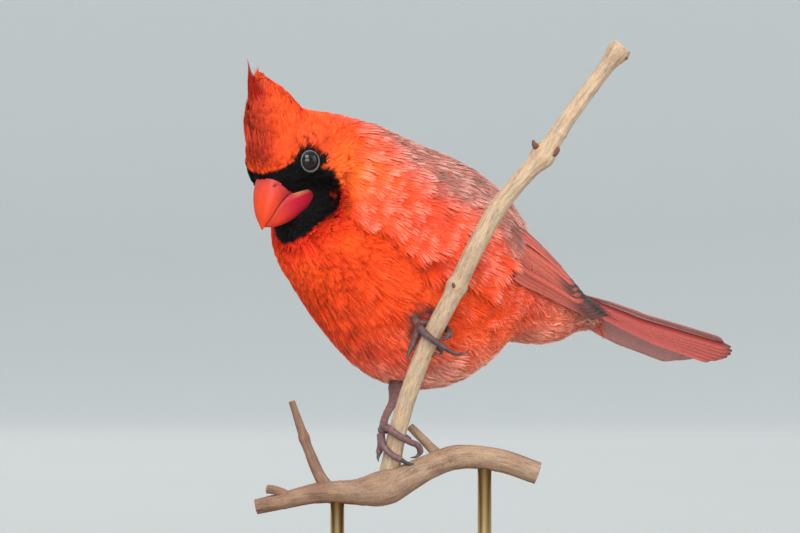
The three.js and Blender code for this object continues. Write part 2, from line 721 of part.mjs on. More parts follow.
function toe(stops, grow = 0) {
  const placed = stops.map(([height, degrees, extra = 0], i) => {
    const radius = FOOT.toe * lerp(1, 0.78, i / (stops.length - 1));
    return [roundStem(height, degrees, grip(radius) + extra), radius + grow];
  });
  return limb(placed, { sides: 6, steps: Math.ceil(1.5 * (stops.length - 1)) });
}
function claw(stops) {
  const placed = stops.map(([h, degrees, out], i) => {
    const r = FOOT.claw * lerp(1, 0.22, i / (stops.length - 1));
    return [roundStem(h, degrees, out), r];
  });
  return limb(placed, { sides: 5, steps: 4 });
}

// The upper, left foot: one toe over the stem's front, two behind it, and the hind toe below.
const LEFT_FOOT = {
  pad: [93.8, -104],
  toes: [
    [[93.8, -104, 0.5], [93.6, -50], [93.0, -5, 0.1], [92.4, 38, 0.5], [91.8, 62, 1.8]],
    [[94.4, -104, 0.5], [95.4, -160], [96.2, -215], [96.0, -262, 0.4], [95.2, -292, 0.9]],
    [[93.6, -106, 0.5], [92.0, -160], [90.8, -215], [90.2, -255, 0.2]],
    [[93.2, -100, 0.4], [90.0, -96, 0.1], [87.2, -84, 0.1]],
  ],
  claws: [
    [[91.8, 62, 6.2], [91.4, 74, 8.0], [91.4, 84, 10.2], [92.6, 88, 12.0], [94.2, 88, 12.8]],
    [[95.2, -292, 5.0], [94.2, -312, 5.4], [93.6, -330, 5.2]],
    [[90.2, -255, 4.5], [89.6, -276, 5.2], [89.2, -292, 5.0]],
    [[87.2, -84, 4.4], [85.4, -74, 4.6], [83.8, -62, 4.2]],
  ],
};
// The lower, right foot: three toes over the front, the hind toe behind.
const RIGHT_FOOT = {
  pad: [61.6, -102],
  toes: [
    [[62.6, -102, 0.5], [63.2, -45], [62.2, 0], [60.8, 50, 1.0], [59.6, 76, 3.4], [57.4, 84, 4.4]],
    [[60.0, -98, 0.6], [57.6, -52, 0.1], [55.8, -8, 0.2], [54.6, 34, 0.9]],
    [[60.2, -104, 0.6], [57.4, -100, 0.2], [54.6, -92, 0.2]],
    [[61.6, -104, 0.6], [61.4, -160], [60.6, -212], [60.2, -250, 0.2]],
  ],
  claws: [
    [[57.4, 84, 8.6], [56.0, 78, 7.6], [55.4, 66, 6.2]],
    [[54.6, 34, 5.0], [53.8, 52, 6.6], [53.8, 66, 8.8], [54.6, 73, 10.6]],
    [[54.6, -92, 4.4], [53.2, -84, 4.5], [52.2, -70, 4.4]],
    [[60.2, -250, 4.4], [59.8, -272, 5.2], [59.4, -290, 5.0]],
  ],
};

function footPad([height, degrees]) {
  return roundStem(height, degrees, STEM_SKIN + FOOT.pad);
}
function foot(spec, grow = 0) {
  const pad = new THREE.SphereGeometry(FOOT.pad + grow, 8, 6);
  pad.translate(...footPad(spec.pad).toArray());
  const toes = spec.toes.map((t) => toe(t, grow));
  return join([solidFrom(pad), ...toes, ...spec.claws.map((c) => claw(c))]);
}

// Legs: a feathered thigh out of the belly, then the bare shank into the foot's pad.
function leg(spec, stops) {
  const placed = [...alongPerch(stops), [footPad(spec.pad), FOOT.tarsus]];
  return limb(placed, { sides: 8, steps: 12, endRound: 0.02 });
}

const LEFT_LEG = [
  [2, 108, -18, 5],
  [4.2, 101.5, -25.5, 3],
  [5, 98, -29, 1.4],
];
const RIGHT_LEG = [
  [0.5, 82, 4, 8],
  [-0.5, 75, -6, 3.4],
  [-2.4, 71.2, -13, 1.5],
  [-4.6, 67, -20, 1.25],
];

function displayStand() {
  const { radius, thick, bevel } = STAND;
  const profile = [
    [0, 0],
    [radius - 1, 0],
    [radius, 1],
    [radius, thick - bevel],
    [radius - bevel, thick],
    [0, thick],
  ].map(([x, y]) => new THREE.Vector2(x, y));
  const base = new THREE.LatheGeometry(profile, 48);
  base.rotateX(Math.PI / 2);
  return solidFrom(base);
}

function standRod(across, depth, top) {
  const from = STAND.thick + GAP;
  const rod = new THREE.CylinderGeometry(STAND.rod, STAND.rod, top - from, STAND.rodSides);
  rod.rotateX(Math.PI / 2);
  const at = perchPoint(across, (top + from) / 2, depth);
  rod.translate(at.x, at.y, at.z);
  return solidFrom(rod);
}

// The model
const COLOURS = {
  plumage: [0.85, 0.13, 0.05, 0.85],
  wing: [0.55, 0.13, 0.1, 0.8],
  bill: [0.9, 0.2, 0.12, 0.4],
  eye: [0.02, 0.015, 0.015, 0.08],
  horn: [0.3, 0.17, 0.17, 0.6],
  bark: [0.55, 0.4, 0.25, 0.85],
  base: [0.25, 0.14, 0.07, 0.5],
  rod: [0.6, 0.45, 0.2, 0.3],
};

const model = new THREE.Group();
function addNode(name, solid, look) {
  const [r, g, b, roughness] = COLOURS[look];
  const metalness = look === "rod" ? 1 : 0;
  const material = new THREE.MeshStandardMaterial({ color: new THREE.Color(r, g, b), roughness, metalness });
  const mesh = new THREE.Mesh(geometryFrom(solid), material);
  mesh.name = name;
  model.add(mesh);
}

const { torso, tailCone, neck, head, crestBase } = trunk();
const torsoWithRoom = starSolid(V(6, 0, 115), bodyAxes(21)[0], 28, 32, GAP);
const branchRoom = join([branchRod(GAP), branchCollar(GAP)]);
const stem = perchStem().subtract(branchRoom);
const branch = perchBranch();

addNode("torso", torso, "plumage");
addNode("neck", neck, "plumage");
addNode("head", head, "plumage");
addNode("crest", join([crestBase, crestCore(), ...crestFeathers()]).intersect(past(crestPlane, GAP / 2)), "plumage");
addNode("bill_upper", join([upperMandible()]).subtract(join(nostrils())), "bill");
addNode("bill_lower", lowerMandible(), "bill");
addNode("eye_left", eyeball(1, EYE.radius), "eye");
addNode("eye_right", eyeball(-1, EYE.radius), "eye");
addNode("wing_left", wing(1), "wing");
addNode("wing_right", wing(-1), "wing");
addNode("tail", tail(tailCone), "wing");
for (const [side, spec, stops] of [["left", LEFT_FOOT, LEFT_LEG], ["right", RIGHT_FOOT, RIGHT_LEG]]) {
  const shank = leg(spec, stops).subtract(torsoWithRoom).subtract(foot(spec, GAP));
  addNode(`leg_${side}`, shank, "horn");
  addNode(`foot_${side}`, foot(spec).subtract(branchRoom), "horn");
}
addNode("perch_stem", stem, "bark");
addNode("perch_branch", branch, "bark");
addNode("stand_base", displayStand(), "base");
addNode("stand_rod_front", standRod(-20, -26.8, 42).subtract(branchRoom), "rod");
addNode("stand_rod_back", standRod(27, -24.4, 53).subtract(branchRoom), "rod");

export default model;
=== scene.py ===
import json
import math

import bpy
import numpy as np
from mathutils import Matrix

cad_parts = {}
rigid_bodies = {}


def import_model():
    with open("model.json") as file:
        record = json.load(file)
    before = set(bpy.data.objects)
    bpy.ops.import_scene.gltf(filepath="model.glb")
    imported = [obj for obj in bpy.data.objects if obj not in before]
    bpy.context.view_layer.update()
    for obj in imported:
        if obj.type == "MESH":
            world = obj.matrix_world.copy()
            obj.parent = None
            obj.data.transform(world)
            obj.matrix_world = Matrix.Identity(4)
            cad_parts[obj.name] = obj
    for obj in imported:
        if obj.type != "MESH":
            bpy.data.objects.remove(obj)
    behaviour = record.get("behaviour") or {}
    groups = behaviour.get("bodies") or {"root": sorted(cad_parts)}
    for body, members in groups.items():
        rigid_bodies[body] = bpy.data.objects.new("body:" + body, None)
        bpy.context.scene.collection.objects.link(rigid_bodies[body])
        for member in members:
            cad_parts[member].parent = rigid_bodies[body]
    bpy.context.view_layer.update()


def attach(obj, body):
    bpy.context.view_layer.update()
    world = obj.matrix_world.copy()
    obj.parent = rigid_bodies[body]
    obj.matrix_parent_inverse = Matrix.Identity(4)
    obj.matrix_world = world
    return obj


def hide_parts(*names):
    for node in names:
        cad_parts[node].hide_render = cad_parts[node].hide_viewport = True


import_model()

# A life-size male northern cardinal on a cut stem, in the part's own frame.
# Shapes are worked out in millimetres and written to Blender in metres.
scene = bpy.context.scene

cameraSettings = {"turn": 35, "distance": 2.5, "height": 0.115, "lens": 348.75, "sensor": 36,
                  "clip": (0.05, 60)}
lightSettings = {
    "sky": (0.80, 0.86, 0.90), "skyStrength": 0.62, "aim": (0, 0, 0.11),
    "key": {"at": (-1.5, -1.7, 2.3), "size": 1.6, "power": 76, "colour": (1.0, 0.985, 0.96)},
    "fill": {"at": (1.7, -1.9, 0.9), "size": 2.0, "power": 22, "colour": (0.92, 0.96, 1.0)},
    "back": {"at": (0.9, 1.9, 2.2), "size": 1.4, "power": 55, "colour": (1.0, 1.0, 1.0)},
    "low": {"at": (-1.2, -1.6, 0.12), "size": 1.4, "power": 40, "colour": (1.0, 0.99, 0.98)},
}
# The stage's tones by distance from the middle are painted light: darker on the floor, brighter up the
# backdrop.
stageSettings = {"flat": 3.4, "bend": 2.6, "height": 4.4, "sides": 96, "paper": (0.975, 1.0, 0.995),
                 "paintedLightTones": ([0, 0.9, 1.6, 2.2, 3.1, 3.6, 6], [0.38, 0.385, 0.39, 0.435, 0.63, 0.74, 0.90])}


def makeCamera(s):
    camera = bpy.data.objects.new("camera", bpy.data.cameras.new("camera"))
    scene.collection.objects.link(camera)
    turn = math.radians(s["turn"])
    camera.location = (-s["distance"] * math.sin(turn), -s["distance"] * math.cos(turn), s["height"])
    camera.rotation_euler = (math.pi / 2, 0, -turn)
    camera.data.lens = s["lens"]
    camera.data.sensor_width = s["sensor"]
    camera.data.clip_start, camera.data.clip_end = s["clip"]
    scene.camera = camera


def makeLights(s):
    world = bpy.data.worlds.new("sky")
    world.use_nodes = True
    background = world.node_tree.nodes["Background"]
    background.inputs["Color"].default_value = (*s["sky"], 1)
    background.inputs["Strength"].default_value = s["skyStrength"]
    scene.world = world
    for name in ("key", "fill", "back", "low"):
        lamp = s[name]
        light = bpy.data.lights.new(name, "AREA")
        light.size = lamp["size"]
        light.energy = lamp["power"]
        light.color = lamp["colour"]
        holder = bpy.data.objects.new(name, light)
        scene.collection.objects.link(holder)
        holder.location = lamp["at"]
        towards = np.array(s["aim"]) - np.array(lamp["at"])
        pitch = math.acos(-towards[2] / np.linalg.norm(towards))
        holder.rotation_euler = (pitch, 0, math.atan2(towards[1], towards[0]) - math.pi / 2)


def unit(v):
    return v / np.maximum(np.linalg.norm(v, axis=-1, keepdims=True), 1e-9)


def smooth(low, high, x):  # 0 below low, 1 above high, or the other way round
    t = np.clip((x - low) / (high - low), 0, 1)
    return t * t * (3 - 2 * t)


def mix(a, b, t):
    return a + (b - a) * t


def meshFrom(name, points, faces, material, smoothFaces=True):  # points in millimetres
    mesh = bpy.data.meshes.new(name)
    points = np.asarray(points, dtype=np.float32) * 0.001
    faces = np.asarray(faces, dtype=np.int32)
    mesh.vertices.add(len(points))
    mesh.vertices.foreach_set("co", points.ravel())
    mesh.loops.add(faces.size)
    mesh.loops.foreach_set("vertex_index", faces.ravel())
    mesh.polygons.add(len(faces))
    mesh.polygons.foreach_set("loop_start", np.arange(0, faces.size, faces.shape[1], dtype=np.int32))
    mesh.polygons.foreach_set("use_smooth", np.full(len(faces), smoothFaces))
    mesh.update(calc_edges=True)
    mesh.validate()
    piece = bpy.data.objects.new(name, mesh)
    scene.collection.objects.link(piece)
    if material is not None:
        mesh.materials.append(material)
    return piece


def setColour(piece, colours, name="tint"):
    layer = piece.data.color_attributes.new(name, "FLOAT_COLOR", "POINT")
    rgba = np.ones((len(piece.data.vertices), 4), dtype=np.float32)
    rgba[:, :3] = np.clip(colours, 0, 1)
    layer.data.foreach_set("color", rgba.ravel())


def setVector(piece, values, name):
    layer = piece.data.attributes.new(name, "FLOAT_VECTOR", "POINT")
    layer.data.foreach_set("vector", np.asarray(values, dtype=np.float32).ravel())


def setNumber(piece, values, name):
    layer = piece.data.attributes.new(name, "FLOAT", "POINT")
    layer.data.foreach_set("value", np.asarray(values, dtype=np.float32).ravel())


def readAttribute(mesh, name, width):
    layer = mesh.attributes[name]
    field = {1: "value", 2: "vector", 3: "vector"}[width]
    out = np.empty(len(layer.data) * width, dtype=np.float32)
    layer.data.foreach_get(field, out)
    return out.reshape(-1, width).squeeze()


def cornerMap(piece, perVertex, name="OFBake"):  # the map's place at each vertex, written to its corners
    layer = piece.data.uv_layers.new(name=name)
    corners = np.empty(len(piece.data.loops), dtype=np.int32)
    piece.data.loops.foreach_get("vertex_index", corners)
    layer.data.foreach_set("uv", perVertex[corners].astype(np.float32).ravel())


def unwrap(piece, margin=0.004):
    bpy.ops.object.select_all(action="DESELECT")
    piece.select_set(True)
    bpy.context.view_layer.objects.active = piece
    piece.data.uv_layers.new(name="OFBake")
    bpy.ops.object.mode_set(mode="EDIT")
    bpy.ops.mesh.select_all(action="SELECT")
    bpy.ops.uv.smart_project(angle_limit=math.radians(66), island_margin=margin)
    bpy.ops.object.mode_set(mode="OBJECT")


def ringFaces(rings, sides, start=0):
    i, j = np.meshgrid(np.arange(rings - 1), np.arange(sides), indexing="ij")
    a = start + i * sides + j
    b = start + i * sides + (j + 1) % sides
    return np.stack([a, b, a + sides, b, b + sides, a + sides], -1).reshape(-1, 3)


def closedLoft(rings, startPoint=None, endPoint=None):  # rings in a row, closed by a fan at each end
    count, sides = rings.shape[:2]
    start = rings[0].mean(0) if startPoint is None else startPoint
    end = rings[-1].mean(0) if endPoint is None else endPoint
    points = np.concatenate([rings.reshape(-1, 3), [start], [end]])
    j = np.arange(sides)
    after = (j + 1) % sides
    last = (count - 1) * sides
    caps = [np.stack([np.full(sides, count * sides), after, j], -1)]
    caps.append(np.stack([np.full(sides, count * sides + 1), last + j, last + after], -1))
    faces = np.concatenate([ringFaces(count, sides), *caps])
    a, b, c = (points[faces[:, k]] for k in range(3))
    if np.einsum("ij,ij->i", a, np.cross(b, c)).sum() < 0:
        faces = faces[:, ::-1]
    return points, faces


def joined(parts):
    points, faces, start = [], [], 0
    for p, f in parts:
        points.append(p)
        faces.append(f + start)
        start += len(p)
    return np.concatenate(points), np.concatenate(faces)


def routePoint(stops, t):  # a smooth route through the stops, t from 0 to 1
    stops = np.asarray(stops, float)
    ends = np.concatenate([[2 * stops[0] - stops[1]], stops, [2 * stops[-1] - stops[-2]]])
    place = np.clip(np.asarray(t, float), 0, 1) * (len(stops) - 1)
    k = np.minimum(place.astype(int), len(stops) - 2)
    w = (place - k)[:, None]
    p0, p1, p2, p3 = (ends[k + i] for i in range(4))
    gap = lambda a, b: np.maximum(np.linalg.norm(a - b, axis=1, keepdims=True) ** 0.5, 1e-4)
    d0, d1, d2 = gap(p0, p1), gap(p1, p2), gap(p2, p3)
    t1 = ((p1 - p0) / d0 - (p2 - p0) / (d0 + d1) + (p2 - p1) / d1) * d1
    t2 = ((p2 - p1) / d1 - (p3 - p1) / (d1 + d2) + (p3 - p2) / d2) * d1
    return p1 + t1 * w + (3 * (p2 - p1) - 2 * t1 - t2) * w**2 + (2 * (p1 - p2) + t1 + t2) * w**3


grainPerMm = 0.13  # the bark's streaks are long because their pattern moves slowly along the wood


def tube(stops, radii, rows, sides, startRound=0.6, endRound=0.6, relief=None, withGrain=False):
    t = np.linspace(0, 1, rows)
    at = routePoint(stops, t)
    along = unit(np.gradient(at, axis=0))
    across = np.array([0, 0, 1.0]) if abs(along[0, 2]) < 0.9 else np.array([1.0, 0, 0])
    frames = []
    for direction in along:
        across = unit(across - direction * (across @ direction))
        frames.append(across)
    across = np.array(frames)
    third = np.cross(along, across)
    radius = np.interp(t, np.linspace(0, 1, len(radii)), radii)
    a = np.linspace(0, 2 * np.pi, sides, endpoint=False)
    r = np.repeat(radius[:, None], sides, 1)
    if relief is not None:
        r = r + relief(t[:, None], a[None, :], at, r)
    ring = at[:, None] + across[:, None] * (r * np.cos(a))[..., None]
    ring = ring + third[:, None] * (r * np.sin(a))[..., None]
    caps = (at[0] - along[0] * startRound * radii[0], at[-1] + along[-1] * endRound * radii[-1])
    points, faces = closedLoft(ring, *caps)
    if not withGrain:
        return points, faces
    run = np.append(0, np.cumsum(np.linalg.norm(np.diff(at, axis=0), axis=1)))
    core = np.broadcast_to(radius[:, None], r.shape)
    grain = [core * np.cos(a), core * np.sin(a), (run * grainPerMm)[:, None] + 0 * r]
    grain = np.stack(grain, -1).reshape(-1, 3)
    return points, faces, np.concatenate([grain, grain[:1] * [0, 0, 1], grain[-1:] * [0, 0, 1]])


def wobble(p, scale, seed=0):  # a slow random wave in space, about -1 to 1
    rng = np.random.default_rng(100 + seed)
    total = np.zeros(len(p))
    for octave in range(3):
        for _ in range(3):
            wave = rng.normal(size=3) * (2**octave) / scale
            total += np.sin(p @ wave * 2.2 + rng.uniform(0, 6.28)) / (octave + 1)
    return total / 5.5


headSettings = {"at": (-43.5, 0, 147.5), "yaw": 15, "pitch": 35}
headTurn, headDip = math.radians(headSettings["yaw"]), math.radians(headSettings["pitch"])
flatForward = np.array([-math.cos(headTurn), -math.sin(headTurn), 0])
forward = flatForward * math.cos(headDip) + np.array([0, 0, -math.sin(headDip)])
crown = flatForward * math.sin(headDip) + np.array([0, 0, math.cos(headDip)])
leftward = np.cross(crown, forward)
headAt = np.array(headSettings["at"], float)
headFrame = np.stack([forward, crown, leftward])


def headPoint(f, n, l=0.0):  # forward, towards the crown and leftward from the head's middle
    return headAt + forward * f + crown * n + leftward * l


def headPlace(p):
    return (p - headAt) @ headFrame.T


def headAxes(lean=0):
    a = math.radians(lean)
    along = forward * math.cos(a) + crown * math.sin(a)
    return np.stack([along, leftward, crown * math.cos(a) - forward * math.sin(a)])


def bodyAxes(pitch, yaw=0):
    a, b = math.radians(pitch), math.radians(yaw)
    along = np.array([math.cos(a) * math.cos(b), math.sin(b) * math.cos(a), -math.sin(a)])
    up = np.array([math.sin(a) * math.cos(b), math.sin(b) * math.sin(a), math.cos(a)])
    return np.stack([along, np.cross(up, along), up])


def egg(centre, radii, axes):
    return np.array(centre, float), np.array(radii, float), axes


# The bird's body is a soft union of eggs, from the breast to the chin.
plumageEggs = [
    egg((2, 0, 118), (43, 35.5, 33.5), bodyAxes(30)),  # trunk
    egg((6, 0, 105.5), (31, 29, 29), bodyAxes(30)),  # belly
    egg((34, 0, 111), (35, 22, 15), bodyAxes(27)),  # rump
    egg((56, 0, 104), (24, 11, 6), bodyAxes(18)),  # root of the tail
    egg((-21.5, 0, 131), (21, 24, 26), bodyAxes(35)),  # upper breast
    egg((-21, 0, 144.4), (27, 20, 17), bodyAxes(23)),  # nape
    egg(headPoint(-3, 0), (15.2, 14, 14), headAxes()),  # skull
    egg(headPoint(0.8, 9), (8.4, 7, 15), headAxes(28)),  # forehead
    egg(headPoint(-8, -9), (14, 14.5, 13), headAxes()),  # cheeks
    egg(headPoint(0.5, -11), (9, 8, 8.5), headAxes()),  # chin
]
faceHollows = [egg(headPoint(9, -9.4, 12.9 * side), (8.5, 5.6, 6), headAxes()) for side in (1, -1)]
hollowBlend = 2.6
wingCushions = [egg((30, -12 * side, 116.5), (50, 14.5, 10.5), bodyAxes(31, 12 * side)) for side in (1, -1)]
tailRoof = egg((82, 0, 99), (40, 12, 5), bodyAxes(13))
crestCores = [egg(headPoint(-1.5, 17), (8.2, 5.4, 9), headAxes(20)),
              egg(headPoint(-2.0, 24), (3.4, 2.0, 8.5), headAxes(14))]
billHeart = np.array([13, -5, 0])  # head's place inside the bill's root


def eggDistance(p, form):
    centre, radii, axes = form
    q = (p - centre) @ axes.T / radii
    k0 = np.linalg.norm(q, axis=-1)
    k1 = np.linalg.norm(q / radii, axis=-1) + 1e-9
    return np.clip(k0 * (k0 - 1) / k1, -60, 60), (q / radii / k1[..., None]) @ axes


def softUnion(p, eggs, blend=2.5):  # distance and outward direction
    total, pull = 0, 0
    for form in eggs:
        d, n = eggDistance(p, form)
        w = np.exp(-d / blend)
        total = total + w
        pull = pull + w[..., None] * n
    return -blend * np.log(total), unit(pull)


def plumageField(p, eggs=plumageEggs):  # the feathers' outer surface, with the hollows beside the bill
    d, n = softUnion(p, eggs)
    total = np.exp(d / hollowBlend)
    pull = total[..., None] * n
    for form in faceHollows:
        dh, nh = eggDistance(p, form)
        w = np.exp(-dh / hollowBlend)
        total = total + w
        pull = pull - w[..., None] * nh
    return hollowBlend * np.log(total), unit(pull)


def skinField(p):
    return plumageField(p, [*plumageEggs, *crestCores])


def envelopeField(p):  # the body with what lies under the wings and the tail
    d, n = plumageField(p)
    dw, nw = softUnion(p, [*wingCushions, tailRoof])
    return np.minimum(d, dw), np.where((dw < d)[..., None], nw, n)


def coatDepth(p):  # the skin lies this deep under the feathers
    nearBill = np.linalg.norm(headPlace(p) - billHeart, axis=-1)
    return mix(0.55, 1.9, smooth(9, 34, nearBill))


def surfaceNet(low, step, shape, field):  # a point in each cell that the surface crosses
    axes = [low[k] + step * np.arange(shape[k]) for k in range(3)]
    grid = np.stack(np.meshgrid(*axes, indexing="ij"), -1)
    inside = field(grid.reshape(-1, 3)).reshape(shape) < 0
    part = [slice(0, -1), slice(1, None)]
    count = sum(inside[part[a], part[b], part[c]].astype(int) for a in (0, 1) for b in (0, 1) for c in (0, 1))
    mixed = (count > 0) & (count < 8)
    index = np.full(mixed.shape, -1)
    index[mixed] = np.arange(mixed.sum())
    points = np.array(low) + step * (np.stack(np.nonzero(mixed), -1) + 0.5)
    quads = []
    for axis in range(3):
        g, c = np.moveaxis(inside, axis, 0), np.moveaxis(index, axis, 0)
        here, there = g[:-1, 1:-1, 1:-1], g[1:, 1:-1, 1:-1]
        for outFirst in (False, True):
            i, j, k = np.nonzero((here != there) & (here == (not outFirst)))
            j, k = j + 1, k + 1
            ring = np.stack([c[i, j - 1, k - 1], c[i, j, k - 1], c[i, j, k], c[i, j - 1, k]], -1)
            quads.append(ring if outFirst == (axis == 1) else ring[:, ::-1])
    return points, np.concatenate(quads)


perchTurn = math.radians(35)


def perchPoint(a, h, d):  # across the view, height, and depth away from the camera
    a, h, d = (np.asarray(x, float) for x in (a, h, d))
    c, s = math.cos(perchTurn), math.sin(perchTurn)
    return np.stack([a * c + d * s, -a * s + d * c, h], -1)


eyeSettings = {"radius": 3.7, "sunk": 2.5, "pupil": 1.25, "iris": 2.35, "lidLift": 0.1,
               "look": (0.42, 0.2, 0.88), "at": (2.5, 3.1, 11.5)}


def eyeFrame(side):  # the way that an eye looks, the spot on the plumage, and the ball's centre
    look, at = eyeSettings["look"], eyeSettings["at"]
    out = unit(leftward * side * look[2] + forward * look[0] + crown * look[1])
    start = headPoint(at[0], at[1], side * at[2]) - 8 * out
    r = np.linspace(0, 20, 4001)
    d, _ = plumageField(start + out * r[:, None])
    surface = start + out * r[np.argmax(d > 0)]
    return out, surface, surface - out * eyeSettings["sunk"]


eyeSpots = [headPlace(eyeFrame(side)[1]) for side in (1, -1)]


# "front" is painted shade on the head's front edge, which turns away from the light.
# The dark brown is painted shade, laid where the legs go into the plumage and along the wings' edges.
plumageColours = {
    "breast": (0.90, 0.066, 0.010), "crown": (0.90, 0.085, 0.018), "cheek": (0.93, 0.125, 0.020),
    "crimson": (0.62, 0.013, 0.006), "front": (0.30, 0.012, 0.010), "mantle": (0.40, 0.115, 0.085),
    "mantleGrey": (0.30, 0.19, 0.165), "belly": (0.92, 0.145, 0.040), "undertail": (0.92, 0.19, 0.09),
    "pale": (0.95, 0.55, 0.45), "dusk": (0.13, 0.040, 0.036), "mask": (0.006, 0.0055, 0.006),
    "brow": (0.10, 0.012, 0.010),
}
# The black mask: its back edge by height, its top edge by place forwards, the bib's lower edge by distance
# from the middle, how far it reaches sideways, and the black round each eye.
maskBack = np.array([[-24, 4], [-16.6, 4.6], [-15.1, 3.2], [-13, 0.9], [-7.7, -1.0], [-3, 0.0], [0.2, 2.2],
                     [4.6, 1.4], [8, 2.6]])
maskTop = np.array([[-0.3, 4.5], [0.8, 6.4], [2.8, 7.2], [5.3, 6.5], [8.4, 5.2], [11.2, 4.8], [15, 4.6]])
bibLow = np.array([[0, -19.8], [5, -18.8], [10, -17.2], [15, -15.9], [18, -14]])
maskAside, maskRoundEye = 16.5, 4.6


def insideMask(q):
    back = q[:, 0] - np.interp(q[:, 1], *maskBack.T)
    top = np.interp(q[:, 0], *maskTop.T) - q[:, 1]
    low = q[:, 1] - np.interp(np.abs(q[:, 2] + 1.5), *bibLow.T)
    band = np.minimum(np.minimum(back, top), np.minimum(low, maskAside - np.abs(q[:, 2])))
    aroundEye = [maskRoundEye - np.linalg.norm(q - spot, axis=1) for spot in eyeSpots]
    return np.maximum(band, np.maximum(*aroundEye))


def layers(colours):  # the colours as arrays, and a way to lay one of them over another by weight
    named = {name: np.array(value) for name, value in colours.items()}
    return named, lambda base, name, w: mix(base, named[name], np.clip(w, 0, 1)[..., None])


def plumageColour(p, outward, ragged=0.35):
    c, lay = layers(plumageColours)
    q = headPlace(p)
    x, z, upward = p[:, 0], p[:, 2], outward[:, 2]
    f, n, aside = q[:, 0], q[:, 1], np.abs(q[:, 2])
    mask = insideMask(q)
    onHead = smooth(-34, -16, f) * smooth(-30, -14, n)
    cheekAt = np.linalg.norm((q - np.array([-3, -6, 0])) / np.array([13, 10, 40]), axis=1)
    # painted shade on the head's front edge, which turns away from the light
    frontEdgeShade = smooth(-5, 0.5, f - 12.2 + 0.45 * n) * smooth(8.5, 2, aside) * smooth(5, 9, n)
    throat = smooth(-5, -11, n) * (1 - smooth(0.5, 8, -mask))
    facingDown = smooth(-0.45, -0.95, upward + 0.15 * wobble(p, 6, 16)) * smooth(-30, 0, x)
    # painted shade where the legs go into the plumage
    legRoot = np.linalg.norm(p - perchPoint(6, 99.5, -27), axis=1) + wobble(p, 3, 17)
    rise = z - (150 - 0.62 * (x + 12))  # above a line from the nape to the rump
    back = smooth(-17, 0, rise + 5 * wobble(p, 14, 3)) * smooth(-25, -12, x) * smooth(84, 62, x)
    grey = 0.5 + 0.5 * wobble(p, 6, 5)
    # painted shade on the flanks along the wings' edges
    shade = np.linalg.norm(np.stack([x - 22, np.abs(p[:, 1]) - 27, z - 122], 1) / [13, 12, 9], axis=1)
    nape = smooth(-12, -26, f) * smooth(-20, -8, n) * smooth(0.2, 0.7, upward)
    patch = wobble(p, 13, 8)
    brow = (1 - smooth(0.5, 3.2, np.abs(mask + 1.4))) * smooth(3, 6, n) * smooth(6, 3.5, f)
    colour = np.repeat(c["breast"][None], len(p), 0)
    for name, weight in (
            ("crown", onHead * smooth(-4, 10, n)), ("cheek", (1 - smooth(0.5, 1.25, cheekAt)) * 0.9),
            ("front", onHead * frontEdgeShade * 0.75), ("crimson", throat * 0.85),
            ("belly", smooth(104, 84, z) * smooth(-10, 20, x) * 0.75),
            ("undertail", smooth(26, 56, x) * smooth(0.2, -0.4, upward) * 0.8),
            ("pale", facingDown * mix(0.75, 0.4, smooth(22, 40, x))), ("dusk", smooth(9, 3.5, legRoot) * 0.9),
            ("mantle", back * 0.9), ("mantleGrey", back * grey * 0.8),
            ("dusk", smooth(1.1, 0.4, shade + 0.35 * wobble(p, 4, 15)) * 0.65), ("mantle", nape * 0.5)):
        colour = lay(colour, name, weight)
    colour = colour * (1 + 0.2 * patch + 0.1 * wobble(p, 4.5, 18))[:, None]
    colour = lay(colour, "crimson", smooth(0.05, 0.7, -patch) * 0.4 * (1 - back) * (1 - onHead))
    colour = lay(colour, "cheek", smooth(0.1, 0.9, patch) * 0.45 * (1 - back))
    colour = lay(colour, "brow", brow * smooth(0.1, 0.6, wobble(p, 1.6, 12) + 0.25) * 0.8)
    edge = mask + ragged * wobble(p, 1.1, 4) * 2
    return lay(colour, "mask", smooth(-0.35, 0.25, edge))


billRoot = headPoint(13, -4)
crestTip = headPoint(-3.6, 39.6)
tailward = np.array([math.cos(math.radians(24)), 0, -math.sin(math.radians(24))])


def lieOf(p, outward):  # the way that the feathers point: from the bill backwards, and up into the crest
    q = headPlace(p)
    away = p - billRoot
    far = np.linalg.norm(away, axis=1, keepdims=True)
    flow = mix(unit(away), tailward, smooth(24, 62, far) * 0.72)
    toCrest = smooth(3, 13, q[:, 1]) * smooth(-17, -5, q[:, 0])
    flow = mix(flow, unit(crestTip - p), (toCrest * 0.92)[:, None])
    swirl = np.stack([wobble(p, 16, 31 + k) for k in range(3)], -1)
    flow = unit(flow) + 0.28 * swirl
    flow = flow - outward * np.sum(flow * outward, 1, keepdims=True)
    return unit(flow)


def addNode(nodes, kind, operation=None, **values):  # values: the inputs by name
    node = nodes.new(kind)
    if operation:
        node.operation = operation
    setSockets(node, values)
    return node


def setSockets(node, values):
    for name, value in values.items():
        node.inputs[name.replace("_", " ")].default_value = value


def addRelief(nodes, links, height, strength, depth):
    relief = addNode(nodes, "ShaderNodeBump", Strength=strength, Distance=depth)
    links.new(height, relief.inputs["Height"])
    links.new(relief.outputs["Normal"], nodes["Principled BSDF"].inputs["Normal"])


def newMaterial(name):
    material = bpy.data.materials.new(name)
    material.use_nodes = True
    return material, material.node_tree.nodes, material.node_tree.links


